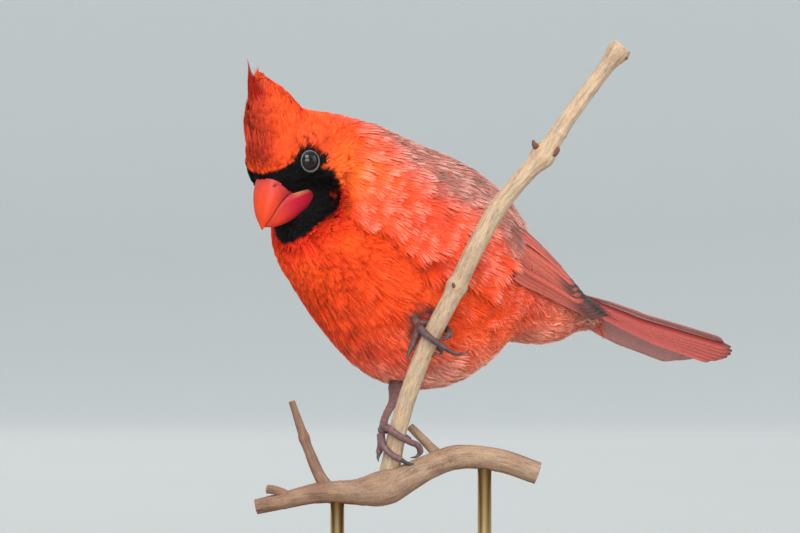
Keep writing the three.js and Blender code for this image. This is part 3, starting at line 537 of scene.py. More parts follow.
def fineVariationGroup():  # fine noise that varies a colour, and the same noise as a height
    group = bpy.data.node_groups.new("fineVariation", "ShaderNodeTree")
    entries = (("Scale", "Float"), ("Least", "Float"), ("Most", "Float"), ("Colour", "Color"))
    for way, sockets in (("INPUT", entries), ("OUTPUT", (("Colour", "Color"), ("Height", "Float")))):
        for name, kind in sockets:
            group.interface.new_socket(name, in_out=way, socket_type="NodeSocket" + kind)
    nodes, links = group.nodes, group.links
    entry, leave = nodes.new("NodeGroupInput"), nodes.new("NodeGroupOutput")
    place = nodes.new("ShaderNodeTexCoord")
    noise = addNode(nodes, "ShaderNodeTexNoise", Detail=4)
    spread = addNode(nodes, "ShaderNodeMapRange", From_Min=0.3, From_Max=0.7)
    scale = addNode(nodes, "ShaderNodeVectorMath", "SCALE")
    links.new(place.outputs["Object"], noise.inputs["Vector"])
    links.new(entry.outputs["Scale"], noise.inputs["Scale"])
    links.new(noise.outputs["Fac"], spread.inputs["Value"])
    links.new(entry.outputs["Least"], spread.inputs["To Min"])
    links.new(entry.outputs["Most"], spread.inputs["To Max"])
    links.new(entry.outputs["Colour"], scale.inputs[0])
    links.new(spread.outputs["Result"], scale.inputs["Scale"])
    links.new(scale.outputs["Vector"], leave.inputs["Colour"])
    links.new(noise.outputs["Fac"], leave.inputs["Height"])
    return group


fineVariation = fineVariationGroup()


def tintedMaterial(name, roughness, scale=900, least=0.8, most=1.15, bump=0.0, bumpDepth=0.0002, **sockets):
    material, nodes, links = newMaterial(name)
    shader = nodes["Principled BSDF"]
    tint = nodes.new("ShaderNodeVertexColor")
    tint.layer_name = "tint"
    vary = nodes.new("ShaderNodeGroup")
    vary.node_tree = fineVariation
    setSockets(vary, {"Scale": scale, "Least": least, "Most": most})
    links.new(tint.outputs["Color"], vary.inputs["Colour"])
    links.new(vary.outputs["Colour"], shader.inputs["Base Color"])
    if bump:
        addRelief(nodes, links, vary.outputs["Height"], bump, bumpDepth)
    setSockets(shader, {"Roughness": roughness, **sockets})
    return material


coatMaterial = tintedMaterial("plumage", 0.75, 1500, 0.82, 1.16, Specular_IOR_Level=0.1)
skinMaterial = tintedMaterial("down", 0.85, 700, 0.7, 1.1, bump=0.5, Specular_IOR_Level=0.15)
billMaterial = tintedMaterial("billHorn", 0.42, 420, 0.93, 1.05, bump=0.12, bumpDepth=0.0001,
                              Specular_IOR_Level=0.2, Subsurface_Weight=0.12, Subsurface_Scale=0.002)
eyeMaterial = tintedMaterial("eye", 0.04, 500, 0.9, 1.1, Specular_IOR_Level=0.34)
lidMaterial = tintedMaterial("eyelid", 0.5, 2500, 0.7, 1.25, bump=0.6, bumpDepth=0.0001)
legMaterial = tintedMaterial("scutes", 0.5, 1400, 0.75, 1.2, bump=0.5, bumpDepth=0.0001,
                             Specular_IOR_Level=0.4)
clawMaterial = tintedMaterial("claw", 0.25, 1200, 0.8, 1.2)
barkGrain = {"streak": (1.1, 5), "crack": (3.4, 3), "roughness": 0.65, "streakShare": 0.55,
             "crackShare": 0.45, "dark": (0.33, 0.42), "light": (0.66, 1.32), 
             "middle": (0.48, (0.98, 0.97, 0.95, 1)), "relief": (0.8, 0.0004)}


def makeBarkMaterial(s=barkGrain):
    material = tintedMaterial("bark", 0.82, 2600, 0.86, 1.12, Specular_IOR_Level=0.25)
    nodes, links = material.node_tree.nodes, material.node_tree.links
    shader, vary = nodes["Principled BSDF"], next(n for n in nodes if n.type == "GROUP")
    grain = nodes.new("ShaderNodeAttribute")
    grain.attribute_name = "grain"
    fine = []
    for scale, detail in (s["streak"], s["crack"]):
        noise = addNode(nodes, "ShaderNodeTexNoise", Scale=scale, Detail=detail, Roughness=s["roughness"])
        links.new(grain.outputs["Vector"], noise.inputs["Vector"])
        fine.append(noise)
    share = addNode(nodes, "ShaderNodeMath", "MULTIPLY")
    both = addNode(nodes, "ShaderNodeMath", "MULTIPLY_ADD")
    share.inputs[1].default_value = s["streakShare"]
    both.inputs[1].default_value = s["crackShare"]
    times = addNode(nodes, "ShaderNodeVectorMath", "MULTIPLY")
    ramp = nodes.new("ShaderNodeValToRGB")
    for element, (place, tone) in zip(ramp.color_ramp.elements, (s["dark"], s["light"])):
        element.position = place
        element.color = (tone, tone * 0.97, tone * 0.92, 1)
    ramp.color_ramp.elements.new(s["middle"][0]).color = s["middle"][1]
    links.new(fine[0].outputs["Fac"], share.inputs[0])
    links.new(fine[1].outputs["Fac"], both.inputs[0])
    links.new(share.outputs[0], both.inputs[2])
    links.new(both.outputs[0], ramp.inputs["Fac"])
    links.new(vary.outputs["Colour"], times.inputs[0])
    links.new(ramp.outputs["Color"], times.inputs[1])
    links.new(times.outputs["Vector"], shader.inputs["Base Color"])
    addRelief(nodes, links, both.outputs[0], *s["relief"])
    return material


barkMaterial = makeBarkMaterial()


def vaneMaterial():  # fine ridges that run with the barbs
    material = tintedMaterial("flightFeathers", 0.6, 1300, 0.85, 1.12, Specular_IOR_Level=0.2)
    nodes, links = material.node_tree.nodes, material.node_tree.links
    lane = nodes.new("ShaderNodeAttribute")
    lane.attribute_name = "barb"
    wave = addNode(nodes, "ShaderNodeTexWave", Scale=1.0, Distortion=1.5, Detail=2)
    links.new(lane.outputs["Vector"], wave.inputs["Vector"])
    addRelief(nodes, links, wave.outputs["Fac"], 0.45, 0.0002)
    return material


flightMaterial = vaneMaterial()


def plainFinish(name, colour, roughness, metallic=0.0, grain=(1, 1, 1), **sockets):
    material, nodes, links = newMaterial(name)
    shader = nodes["Principled BSDF"]
    place, stretch = nodes.new("ShaderNodeTexCoord"), addNode(nodes, "ShaderNodeMapping", Scale=grain)
    noise = addNode(nodes, "ShaderNodeTexNoise", Scale=40, Detail=6, Distortion=0.6)
    ramp = nodes.new("ShaderNodeValToRGB")
    for element, position, tone in zip(ramp.color_ramp.elements, (0.32, 0.7), colour):
        element.position = position
        element.color = (*tone, 1)
    rough = addNode(nodes, "ShaderNodeMapRange", To_Min=roughness * 0.85, To_Max=roughness * 1.2)
    links.new(place.outputs["Object"], stretch.inputs["Vector"])
    links.new(stretch.outputs["Vector"], noise.inputs["Vector"])
    links.new(noise.outputs["Fac"], ramp.inputs["Fac"])
    links.new(ramp.outputs["Color"], shader.inputs["Base Color"])
    links.new(noise.outputs["Fac"], rough.inputs["Value"])
    links.new(rough.outputs["Result"], shader.inputs["Roughness"])
    addRelief(nodes, links, noise.outputs["Fac"], 0.15, 0.0003)
    setSockets(shader, {"Metallic": metallic, **sockets})
    return material


woodMaterial = plainFinish("turnedWood", ((0.10, 0.042, 0.018), (0.24, 0.115, 0.05)), 0.36,
                           grain=(6, 0.5, 6), Coat_Weight=0.3, Coat_Roughness=0.2)
brassMaterial = plainFinish("satinBrass", ((0.52, 0.38, 0.16), (0.66, 0.50, 0.24)), 0.3, 1.0,
                            grain=(1, 1, 0.1))


# Painted light: the paper is darker on the floor and brighter up the backdrop.
def makeStage(s):  # a round floor that bends up into the backdrop, lit by its own tones
    material, nodes, links = newMaterial("paper")
    setSockets(nodes["Principled BSDF"], {"Roughness": 0.9})
    tone = nodes.new("ShaderNodeVertexColor")
    tone.layer_name = "tint"
    links.new(tone.outputs["Color"], nodes["Principled BSDF"].inputs["Base Color"])
    turn = np.linspace(0, math.pi / 2, 14)
    radii = np.concatenate([np.linspace(0.05, s["flat"], 16), s["flat"] + s["bend"] * np.sin(turn[1:])])
    heights = np.concatenate([np.zeros(16), s["bend"] * (1 - np.cos(turn[1:]))])
    radii, heights = np.append(radii, radii[-1]), np.append(heights, s["height"])
    a = np.linspace(0, 2 * np.pi, s["sides"], endpoint=False)
    rings = [radii[:, None] * np.cos(a), radii[:, None] * np.sin(a), heights[:, None] + 0 * a]
    points = np.concatenate([np.stack(rings, -1).reshape(-1, 3) * 1000, [[0, 0, 0]]])
    j = np.arange(s["sides"])
    middle = np.stack([np.full(s["sides"], len(points) - 1), j, (j + 1) % s["sides"]], -1)
    around = ringFaces(len(radii), s["sides"])[:, ::-1]
    floor = meshFrom("backdrop", points, np.concatenate([around, middle]), material)
    away = np.append(np.repeat(radii, s["sides"]), 0)
    setColour(floor, np.array(s["paper"]) * np.interp(away, *s["paintedLightTones"])[:, None])


makeCamera(cameraSettings)
makeLights(lightSettings)
makeStage(stageSettings)
scene.view_settings.view_transform = "Standard"
print("stage ready")


skinSettings = {"low": (-66.0, -40.0, 70.0), "high": (84.0, 40.0, 184.0), "step": 1.15, "shade": 0.55,
                "eyeRoom": 0.25, "push": 0.6}


def makeSkin(s=skinSettings):
    def sunk(p):
        return skinField(p)[0] + coatDepth(p)

    low, step = np.array(s["low"]), s["step"]
    shape = tuple(np.ceil((np.array(s["high"]) - low) / step).astype(int))
    points, quads = surfaceNet(low, step, shape, sunk)
    for _ in range(3):
        d, n = skinField(points)
        points = points - n * (d + coatDepth(points))[:, None]
    for side in (1, -1):  # the eye's socket
        out, surface, centre = eyeFrame(side)
        near = np.linalg.norm(points - centre, axis=1, keepdims=True)
        room = eyeSettings["radius"] + s["eyeRoom"]
        inside = (near < room) & ((points - surface) @ out > -4)[:, None]
        points = np.where(inside, points - out * (room - near + s["push"]), points)
    skin = meshFrom("skin", points, quads, skinMaterial)
    d, n = skinField(points)
    setColour(skin, plumageColour(points, n) * s["shade"])
    setVector(skin, n, "outward")
    setVector(skin, lieOf(points, n), "lie")
    unwrap(skin)
    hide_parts("torso", "neck", "head")
    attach(skin, "root")
    return skin, points


skin, skinPoints = makeSkin()
print("skin ready", len(skin.data.polygons))


def tuftShape(seed, barbs, half, roundness, curl):  # a fan of flat barbs, one long, that points along y
    rng = np.random.default_rng(seed)
    s = np.linspace(-1, 1, barbs) + rng.normal(0, 0.05, barbs)
    reach = 1 - roundness * s**2 + rng.normal(0, 0.05, barbs)
    t = np.array([0, 0.42, 0.78, 1.0])
    start = 0.04 + 0.10 * rng.random(barbs)
    y = start[:, None] + (reach - start)[:, None] * t
    x = half * s[:, None] * (0.2 + 0.95 * t**0.75) * (1 - curl * np.abs(s)[:, None] * t**2)
    x = x + rng.normal(0, 0.03, barbs)[:, None] * half * t**2
    z = rng.uniform(0, 0.03, barbs)[:, None] * (0.4 + t)
    width = 1.35 * half / barbs * np.array([1.25, 1.0, 0.55])
    roll = rng.normal(0, 0.45, barbs)
    points, faces, along, across = [], [], [], []
    for b in range(barbs):
        k = len(points)
        for i in range(3):
            for sign in (-1, 1):
                points.append([x[b, i] + sign * width[i], y[b, i], z[b, i] + sign * width[i] * roll[b]])
                along.append(y[b, i])
                across.append(s[b])
        points.append([x[b, 3], y[b, 3], z[b, 3]])
        along.append(y[b, 3])
        across.append(s[b])
        for i in (0, 2):
            faces += [[k + i, k + i + 1, k + i + 2], [k + i + 1, k + i + 3, k + i + 2]]
        faces.append([k + 4, k + 5, k + 6])
    return np.array(points), np.array(faces), np.array(along), np.array(across)


def coatTree():  # tufts spread over a skin, each one lying the way that the skin says
    tree = bpy.data.node_groups.new("tuftsOnSkin", "GeometryNodeTree")
    sockets = [("Spacing", "Float"), ("Density", "Float"), ("Seed", "Int"), ("Turn", "Float"),
               ("Size Spread", "Float"), ("Tufts", "Collection"), ("Material", "Material")]
    tree.interface.new_socket("Geometry", in_out="INPUT", socket_type="NodeSocketGeometry")
    for name, kind in sockets:
        tree.interface.new_socket(name, in_out="INPUT", socket_type="NodeSocket" + kind)
    tree.interface.new_socket("Geometry", in_out="OUTPUT", socket_type="NodeSocketGeometry")
    nodes, links = tree.nodes, tree.links
    add = nodes.new
    entry, leave = add("NodeGroupInput"), add("NodeGroupOutput")

    def named(name, kind):
        node = add("GeometryNodeInputNamedAttribute")
        node.data_type = kind
        node.inputs["Name"].default_value = name
        return node.outputs["Attribute"]

    def keep(geometry, name, kind, value):
        node = add("GeometryNodeStoreNamedAttribute")
        node.data_type = kind
        node.inputs["Name"].default_value = name
        links.new(geometry, node.inputs["Geometry"])
        links.new(value, node.inputs["Value"])
        return node.outputs["Geometry"]

    spread = add("GeometryNodeDistributePointsOnFaces")
    spread.distribute_method = "POISSON"
    links.new(entry.outputs["Geometry"], spread.inputs["Mesh"])
    links.new(entry.outputs["Spacing"], spread.inputs["Distance Min"])
    links.new(entry.outputs["Density"], spread.inputs["Density Max"])
    links.new(named("cover", "FLOAT"), spread.inputs["Density Factor"])
    links.new(entry.outputs["Seed"], spread.inputs["Seed"])
    points = keep(spread.outputs["Points"], "rootMap", "FLOAT_VECTOR", named("OFBake", "FLOAT_VECTOR"))
    points = keep(points, "rootAt", "FLOAT_VECTOR", add("GeometryNodeInputPosition").outputs["Position"])
    chance = add("FunctionNodeRandomValue")
    points = keep(points, "chance", "FLOAT", chance.outputs[1])
    turn = add("FunctionNodeRandomValue")
    turn.data_type = "FLOAT_VECTOR"
    less = add("ShaderNodeVectorMath")
    less.operation = "SCALE"
    turn.inputs[0].default_value = (-1, -1, -1)
    turn.inputs[1].default_value = (1, 1, 1)
    links.new(turn.outputs[0], less.inputs[0])
    links.new(entry.outputs["Turn"], less.inputs["Scale"])
    lean = add("ShaderNodeVectorMath")
    links.new(named("lie", "FLOAT_VECTOR"), lean.inputs[0])
    links.new(less.outputs["Vector"], lean.inputs[1])
    aim = add("FunctionNodeAxesToRotation")
    aim.primary_axis = "Z"
    aim.secondary_axis = "Y"
    links.new(named("outward", "FLOAT_VECTOR"), aim.inputs["Primary Axis"])
    links.new(lean.outputs["Vector"], aim.inputs["Secondary Axis"])
    size = add("FunctionNodeRandomValue")
    small, large = add("ShaderNodeMath"), add("ShaderNodeMath")
    small.operation, large.operation = "SUBTRACT", "ADD"
    small.inputs[0].default_value = large.inputs[0].default_value = 1
    links.new(entry.outputs["Size Spread"], small.inputs[1])
    links.new(entry.outputs["Size Spread"], large.inputs[1])
    links.new(small.outputs[0], size.inputs[2])
    links.new(large.outputs[0], size.inputs[3])
    scale = add("ShaderNodeMath")
    scale.operation = "MULTIPLY"
    links.new(named("size", "FLOAT"), scale.inputs[0])
    links.new(size.outputs[1], scale.inputs[1])
    points = keep(points, "grown", "FLOAT", scale.outputs[0])
    choose = add("FunctionNodeRandomValue")
    choose.data_type = "INT"
    choose.inputs[4].default_value = 0
    choose.inputs[5].default_value = 5
    shapes = add("GeometryNodeCollectionInfo")
    shapes.inputs["Separate Children"].default_value = True
    shapes.inputs["Reset Children"].default_value = True
    links.new(entry.outputs["Tufts"], shapes.inputs["Collection"])
    place = add("GeometryNodeInstanceOnPoints")
    place.inputs["Pick Instance"].default_value = True
    links.new(points, place.inputs["Points"])
    links.new(shapes.outputs["Instances"], place.inputs["Instance"])
    links.new(choose.outputs[2], place.inputs["Instance Index"])
    links.new(aim.outputs["Rotation"], place.inputs["Rotation"])
    links.new(scale.outputs[0], place.inputs["Scale"])
    real, dress = add("GeometryNodeRealizeInstances"), add("GeometryNodeSetMaterial")
    links.new(place.outputs["Instances"], real.inputs["Geometry"])
    links.new(real.outputs["Geometry"], dress.inputs["Geometry"])
    links.new(entry.outputs["Material"], dress.inputs["Material"])
    links.new(dress.outputs["Geometry"], leave.inputs["Geometry"])
    for node, seed in ((chance, 1), (turn, 2), (size, 3), (choose, 4)):
        node.inputs["Seed"].default_value = seed
    return tree


tuftsOnSkin = coatTree()


def setModifierInput(modifier, name, value):
    for item in modifier.node_group.interface.items_tree:
        if item.name == name and getattr(item, "in_out", "") == "INPUT":
            modifier[item.identifier] = value


def tuftCollection(name, shapes, **sizes):
    holder = bpy.data.collections.new(name)
    scene.collection.children.link(holder)
    for seed in range(shapes):
        points, faces, along, across = tuftShape(seed, **sizes)
        piece = meshFrom(f"{name}{seed}", points * 1000, faces, None)
        setNumber(piece, along, "along")
        setNumber(piece, across, "across")
        scene.collection.objects.unlink(piece)
        holder.objects.link(piece)
    return holder


def growCoat(name, base, s, field, depthOf):
    holder = tuftCollection(name + "Tuft", 6, **s["tuft"])
    source = base.copy()
    source.data = base.data.copy()
    scene.collection.objects.link(source)
    modifier = source.modifiers.new("tufts", "NODES")
    modifier.node_group = tuftsOnSkin
    density = 1.6e6 / s["spacing"] ** 2
    for label, value in (("Spacing", s["spacing"] * 0.001), ("Density", density), ("Seed", s["seed"]),
                         ("Turn", s["turn"]), ("Size Spread", s["sizeSpread"]), ("Tufts", holder),
                         ("Material", coatMaterial)):
        setModifierInput(modifier, label, value)
    graph = bpy.context.evaluated_depsgraph_get()
    mesh = bpy.data.meshes.new_from_object(source.evaluated_get(graph))
    bpy.data.objects.remove(source)
    for piece in list(holder.objects):
        bpy.data.objects.remove(piece)
    bpy.data.collections.remove(holder)
    points = np.empty(len(mesh.vertices) * 3, dtype=np.float32)
    mesh.vertices.foreach_get("co", points)
    points = points.reshape(-1, 3).astype(float) * 1000
    along = np.clip(readAttribute(mesh, "along", 1), 0, 1)
    across = readAttribute(mesh, "across", 1)
    root = readAttribute(mesh, "rootAt", 3).astype(float) * 1000
    chance = readAttribute(mesh, "chance", 1)
    rootMap = readAttribute(mesh, "rootMap", 3)[:, :2]
    grown = readAttribute(mesh, "grown", 1).astype(float) * 1000
    outward = field(root)[1]
    flatHeight = np.sum((points - root) * outward, axis=1)
    puffed = s["rise"] * (0.4 + chance) + s["puff"] * wobble(root, 7, 9)
    wanted = -depthOf(root) * (1 - along) ** 1.4 * 0.9 + puffed * along**1.6
    for _ in range(3):  # settle every barb onto the plumage's surface
        d, n = field(points)
        points = points + n * np.clip(wanted + flatHeight * 0.9 - d, -1.5, 1.5)[:, None]
    tint = plumageColour(root * 0.45 + points * 0.55, outward)
    shade = mix(s["rootShade"], 1.0, smooth(0.05, 0.62, along)) * (1 + s["shadeSpread"] * (chance - 0.5))
    pale = np.where(chance > 1 - s["paleShare"], 1, 0.3)
    lighten = (smooth(0.6, 1.0, along) * s["tipLight"] * pale)[:, None]
    dark = tint.max(1, keepdims=True) < 0.1  # the mask's tufts keep their black tips
    tint = tint * shade[:, None]
    tint = np.where(dark, tint, mix(tint, tint * 0.75 + np.array(s["tipColour"]) * 0.25, lighten))
    spot = rootMap + np.stack([across, along - 0.5], -1) * 0.0015
    corners = np.empty(len(mesh.loops), dtype=np.int32)
    mesh.loops.foreach_get("vertex_index", corners)
    bpy.data.meshes.remove(mesh)
    return points, corners.reshape(-1, 3), tint, spot


def addCoat(name, points, faces, tint, spot, most=190000):
    parts = max(1, math.ceil(len(faces) / most))
    bounds = np.linspace(0, len(faces), parts + 1).astype(int)
    for i in range(parts):
        some = faces[bounds[i]:bounds[i + 1]]
        used, local = np.unique(some, return_inverse=True)
        label = f"{name}_{i + 1}" if parts > 1 else name
        piece = meshFrom(label, points[used], local.reshape(-1, 3), coatMaterial)
        setColour(piece, tint[used])
        cornerMap(piece, spot[used])
        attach(piece, "root")
    print(name, "tufts:", len(faces), "triangles in", parts, "pieces")


fromBill = np.linalg.norm(headPlace(skinPoints) - billHeart, axis=1)
faceness = 1 - smooth(13, 20, fromBill)
headness = (1 - smooth(26, 40, fromBill)) * (1 - faceness)
loose = smooth(-6, 22, skinPoints[:, 0]) * smooth(122, 100, skinPoints[:, 2])
bodyness = (1 - faceness) * (1 - headness)
coatSettings = {
    "face": {"spacing": 0.62, "seed": 11, "turn": 0.22, "sizeSpread": 0.3, "length": 2.5, "rise": 0.12,
             "puff": 0.05, "rootShade": 0.55, "shadeSpread": 0.5, "tipLight": 0.2, "tipColour": (1, 0.32, 0.12),
             "paleShare": 1, "cover": faceness,
             "tuft": {"barbs": 6, "half": 0.30, "roundness": 0.3, "curl": 0.2}},
    "head": {"spacing": 0.92, "seed": 12, "turn": 0.22, "sizeSpread": 0.25, "length": 4.8, "rise": 0.22,
             "puff": 0.12, "rootShade": 0.45, "shadeSpread": 0.45, "tipLight": 0.25,
             "tipColour": (1, 0.34, 0.13), "paleShare": 1, "cover": headness,
             "tuft": {"barbs": 9, "half": 0.34, "roundness": 0.3, "curl": 0.2}},
    "body": {"spacing": 1.45, "seed": 13, "turn": 0.30, "sizeSpread": 0.22, "length": 9.5, "rise": 0.30,
             "puff": 0.35, "rootShade": 0.42, "shadeSpread": 0.42, "tipLight": 0.42,
             "tipColour": (1, 0.38, 0.18), "paleShare": 1, "cover": bodyness * (1 - loose * 0.85),
             "tuft": {"barbs": 14, "half": 0.36, "roundness": 0.32, "curl": 0.15}},
    "belly": {"spacing": 1.55, "seed": 14, "turn": 0.42, "sizeSpread": 0.28, "length": 12.0, "rise": 0.42,
              "puff": 0.55, "rootShade": 0.42, "shadeSpread": 0.4, "tipLight": 0.85,
              "tipColour": (1.2, 0.80, 0.62), "paleShare": 0.4, "cover": bodyness * loose,
              "tuft": {"barbs": 15, "half": 0.33, "roundness": 0.34, "curl": -0.1}},
}


def clearOfEyes(p, cover):  # no tufts over the eyes or inside the bill
    for side in (1, -1):
        out, surface, _ = eyeFrame(side)
        away = p - surface
        flat = away - out * (away @ out)[:, None]
        near = np.linalg.norm(flat, axis=1)
        cover = cover * np.where(away @ out > -5, smooth(3.1, 3.5, near), 1)
    q = headPlace(p)
    inBill = (q[:, 0] > 9.5) & (np.abs(q[:, 2]) < 5.2) & (q[:, 1] < 3.2) & (q[:, 1] > -11)
    return np.where(inBill, 0, cover)


for label, s in coatSettings.items():
    base = skin.copy()
    base.data = skin.data.copy()
    setNumber(base, clearOfEyes(skinPoints, s["cover"]), "cover")
    setNumber(base, np.full(len(skinPoints), s["length"] * 0.001), "size")
    points, faces, tint, spot = growCoat(label, base, s, skinField, coatDepth)
    bpy.data.meshes.remove(base.data)
    addCoat("coat_" + label, points, faces, tint, spot)


def closedVanes(top, bottom):  # many feathers at once, each one a thin closed shell
    count, rows, cols = top.shape[:3]
    points = np.concatenate([top.reshape(count, -1, 3), bottom.reshape(count, -1, 3)], 1)
    grid = np.arange(rows * cols).reshape(rows, cols)
    under = grid + rows * cols
    a, b, c, d = grid[:-1, :-1], grid[:-1, 1:], grid[1:, 1:], grid[1:, :-1]
    up = np.concatenate([np.stack([a, b, c], -1).reshape(-1, 3), np.stack([a, c, d], -1).reshape(-1, 3)])
    edge = np.concatenate([grid[0, :], grid[1:, -1], grid[-1, -2::-1], grid[-2:0:-1, 0]])
    after = np.roll(edge, -1)
    low, lowAfter = edge + rows * cols, after + rows * cols
    wall = np.concatenate([np.stack([edge, low, lowAfter], -1), np.stack([edge, lowAfter, after], -1)])
    down = (up + rows * cols)[:, ::-1]
    shape = np.concatenate([up, wall, down])
    faces = (shape[None] + (np.arange(count) * points.shape[1])[:, None, None]).reshape(-1, 3)
    flat = points.reshape(-1, 3)
    x, y, z = (flat[faces[:, k]] for k in range(3))
    middle = flat[faces].mean(1)
    if np.einsum("ij,ij->i", x - middle.mean(0), np.cross(y - middle.mean(0), z - middle.mean(0))).sum() < 0:
        faces = faces[:, ::-1]
    return flat, faces


def featherWidth(t, tipStart, tipLeast):  # as a share of its widest, from the root to the tip
    root = mix(0.45, 1, np.clip(t / 0.25, 0, 1))
    tip = np.clip((t - tipStart) / (1 - tipStart), 0, 1)
    return root * np.maximum(tipLeast, np.sqrt(1 - tip**2))


def shaftRidge(c, t):
    return 0.22 * np.exp(-((c / 0.09) ** 2)) * (1 - t * 0.6)


def barbLane(down, across, chance, length, slant):  # where the vane's fine ridges run
    lanes = [down * length - np.abs(across) * slant + chance * 5, across * 0.5, chance]
    return np.stack(np.broadcast_arrays(*lanes), -1)


wingSettings = {"front": (-28, 142), "back": (80, 100), "clear": 0.8, "thick": 0.28, "rows": 30, "cols": 11,
                "shingle": 0.5, "bow": 1.6, "droop": 0.25, "stagger": 0.03, "underShade": 0.8}
wingFront = np.array([wingSettings["front"][0], 0, wingSettings["front"][1]], float)
wingBack = np.array([wingSettings["back"][0], 0, wingSettings["back"][1]], float)
wingLength = np.linalg.norm(wingBack - wingFront)
wingAlong = (wingBack - wingFront) / wingLength
wingUp = np.array([-wingAlong[2], 0, wingAlong[0]])
sheetS = np.linspace(-0.02, 1.02, 80)
sheetA = np.linspace(0, 140, 71)


def wingWay(degrees, side):  # straight out from the wing's line: 0 is up, 90 is to the bird's side
    a = np.radians(degrees)[..., None]
    return wingUp * np.cos(a) + np.array([0, -side, 0]) * np.sin(a)


def makeSheet(side, stride=1.5, most=80.0):  # how far from its line the wing lies, by place and angle
    s, a = np.meshgrid(sheetS, sheetA, indexing="ij")
    start = (wingFront + wingAlong * (s * wingLength)[..., None]).reshape(-1, 3)
    way = wingWay(a, side).reshape(-1, 3)
    far = np.full(len(start), most)
    found = np.zeros(len(start), bool)
    for r in np.arange(stride, most, stride):
        out = (envelopeField(start + way * r)[0] > wingSettings["clear"]) & ~found
        far[out] = r
        found |= out
    near = far - stride
    for _ in range(14):
        middle = (near + far) / 2
        out = envelopeField(start + way * middle[:, None])[0] > wingSettings["clear"]
        far, near = np.where(out, middle, far), np.where(out, near, middle)
    sheet = ((near + far) / 2).reshape(s.shape)
    padded = np.pad(sheet, 1, mode="edge")
    return sum(padded[i:i + s.shape[0], j:j + s.shape[1]] for i in range(3) for j in range(3)) / 9


wingSheets = {side: makeSheet(side) for side in (1, -1)}


def sheetReach(s, a, side):
    i = np.clip((s - sheetS[0]) / (sheetS[1] - sheetS[0]), 0, len(sheetS) - 1.001)
    j = np.clip((a - sheetA[0]) / (sheetA[1] - sheetA[0]), 0, len(sheetA) - 1.001)
    i0, j0 = i.astype(int), j.astype(int)
    u, v = i - i0, j - j0
    g = wingSheets[side]
    low = g[i0, j0] * (1 - u) * (1 - v) + g[i0 + 1, j0] * u * (1 - v)
    return low + g[i0, j0 + 1] * (1 - u) * v + g[i0 + 1, j0 + 1] * u * v


def wingPoint(s, a, lift, side):
    start = wingFront + wingAlong * (s * wingLength)[..., None]
    return start + wingWay(a, side) * (sheetReach(s, a, side) + lift)[..., None]


# Each rank: root and tip as [place along the wing, degrees, lift], from the lowest feather to the highest.
wingRanks = [
    {"kind": "primary", "count": 9, "half": 3.1, "tipStart": 0.8,
     "root": ([0.4, 104, 0.5], [0.4, 82, 0.8]), "tip": ([0.955, 104, 0.5], [0.79, 92, 1.1])},
    {"kind": "secondary", "count": 9, "half": 3.5, "tipStart": 0.82,
     "root": ([0.36, 94, 0.9], [0.36, 58, 1.1]), "tip": ([0.85, 96, 1.1], [0.72, 62, 1.6])},
    {"kind": "tertial", "count": 3, "half": 5.2, "tipStart": 0.7,
     "root": ([0.34, 56, 1.3], [0.34, 40, 1.4]), "tip": ([0.76, 64, 1.9], [0.62, 38, 2.0])},
    {"kind": "greater", "count": 9, "half": 4.4, "tipStart": 0.7,
     "root": ([0.24, 102, 1.1], [0.24, 50, 1.1]), "tip": ([0.50, 106, 1.7], [0.46, 52, 1.9])},
    {"kind": "median", "count": 8, "half": 5.0, "tipStart": 0.65,
     "root": ([0.12, 100, 1.0], [0.12, 52, 1.0]), "tip": ([0.34, 104, 2.0], [0.32, 52, 2.1])},
]
# "tailUnder" is partly the feathers' own greyish pink underneath, partly painted light shining through the
# vanes.
vaneColours = {
    "outer": (0.56, 0.070, 0.048), "outerBright": (0.76, 0.155, 0.10), "inner": (0.040, 0.020, 0.018),
    "edge": (0.62, 0.36, 0.30), "shaft": (0.020, 0.010, 0.010), "tip": (0.075, 0.050, 0.045),
    "dull": (0.34, 0.085, 0.065),
    "tailUpper": (0.27, 0.026, 0.022), "tailEdge": (0.44, 0.085, 0.070), "tailUnder": (0.66, 0.33, 0.30),
}


def vaneColour(kind, across, along, chance):
    c, lay = layers(vaneColours)
    flight, soft = kind in ("primary", "secondary"), kind in ("tertial", "median")
    colour = np.broadcast_to(c["outer"], across.shape + (3,)).copy()
    if soft or kind == "greater":
        colour = lay(colour, "dull", (0.75 if soft else 0.35) + 0 * across)
    colour = lay(colour, "outerBright", smooth(0.5, 0.8, across) * (0.75 if flight else 0.3))
    colour = lay(colour, "inner", smooth(0.50, 0.36, across) * (0.3 if soft else 0.95))
    colour = lay(colour, "edge", smooth(0.88, 1.0, across) * 0.32)
    colour = lay(colour, "shaft", (1 - smooth(0.04, 0.14, np.abs(across - 0.44))) * 0.9)
    if kind == "primary":
        colour = lay(colour, "tip", smooth(0.62, 0.9, along) * 0.85)
    if kind in ("secondary", "tertial"):
        colour = lay(colour, "tip", smooth(0.86, 1.0, along) * 0.5)
    return colour * (0.88 + 0.24 * chance)[..., None]


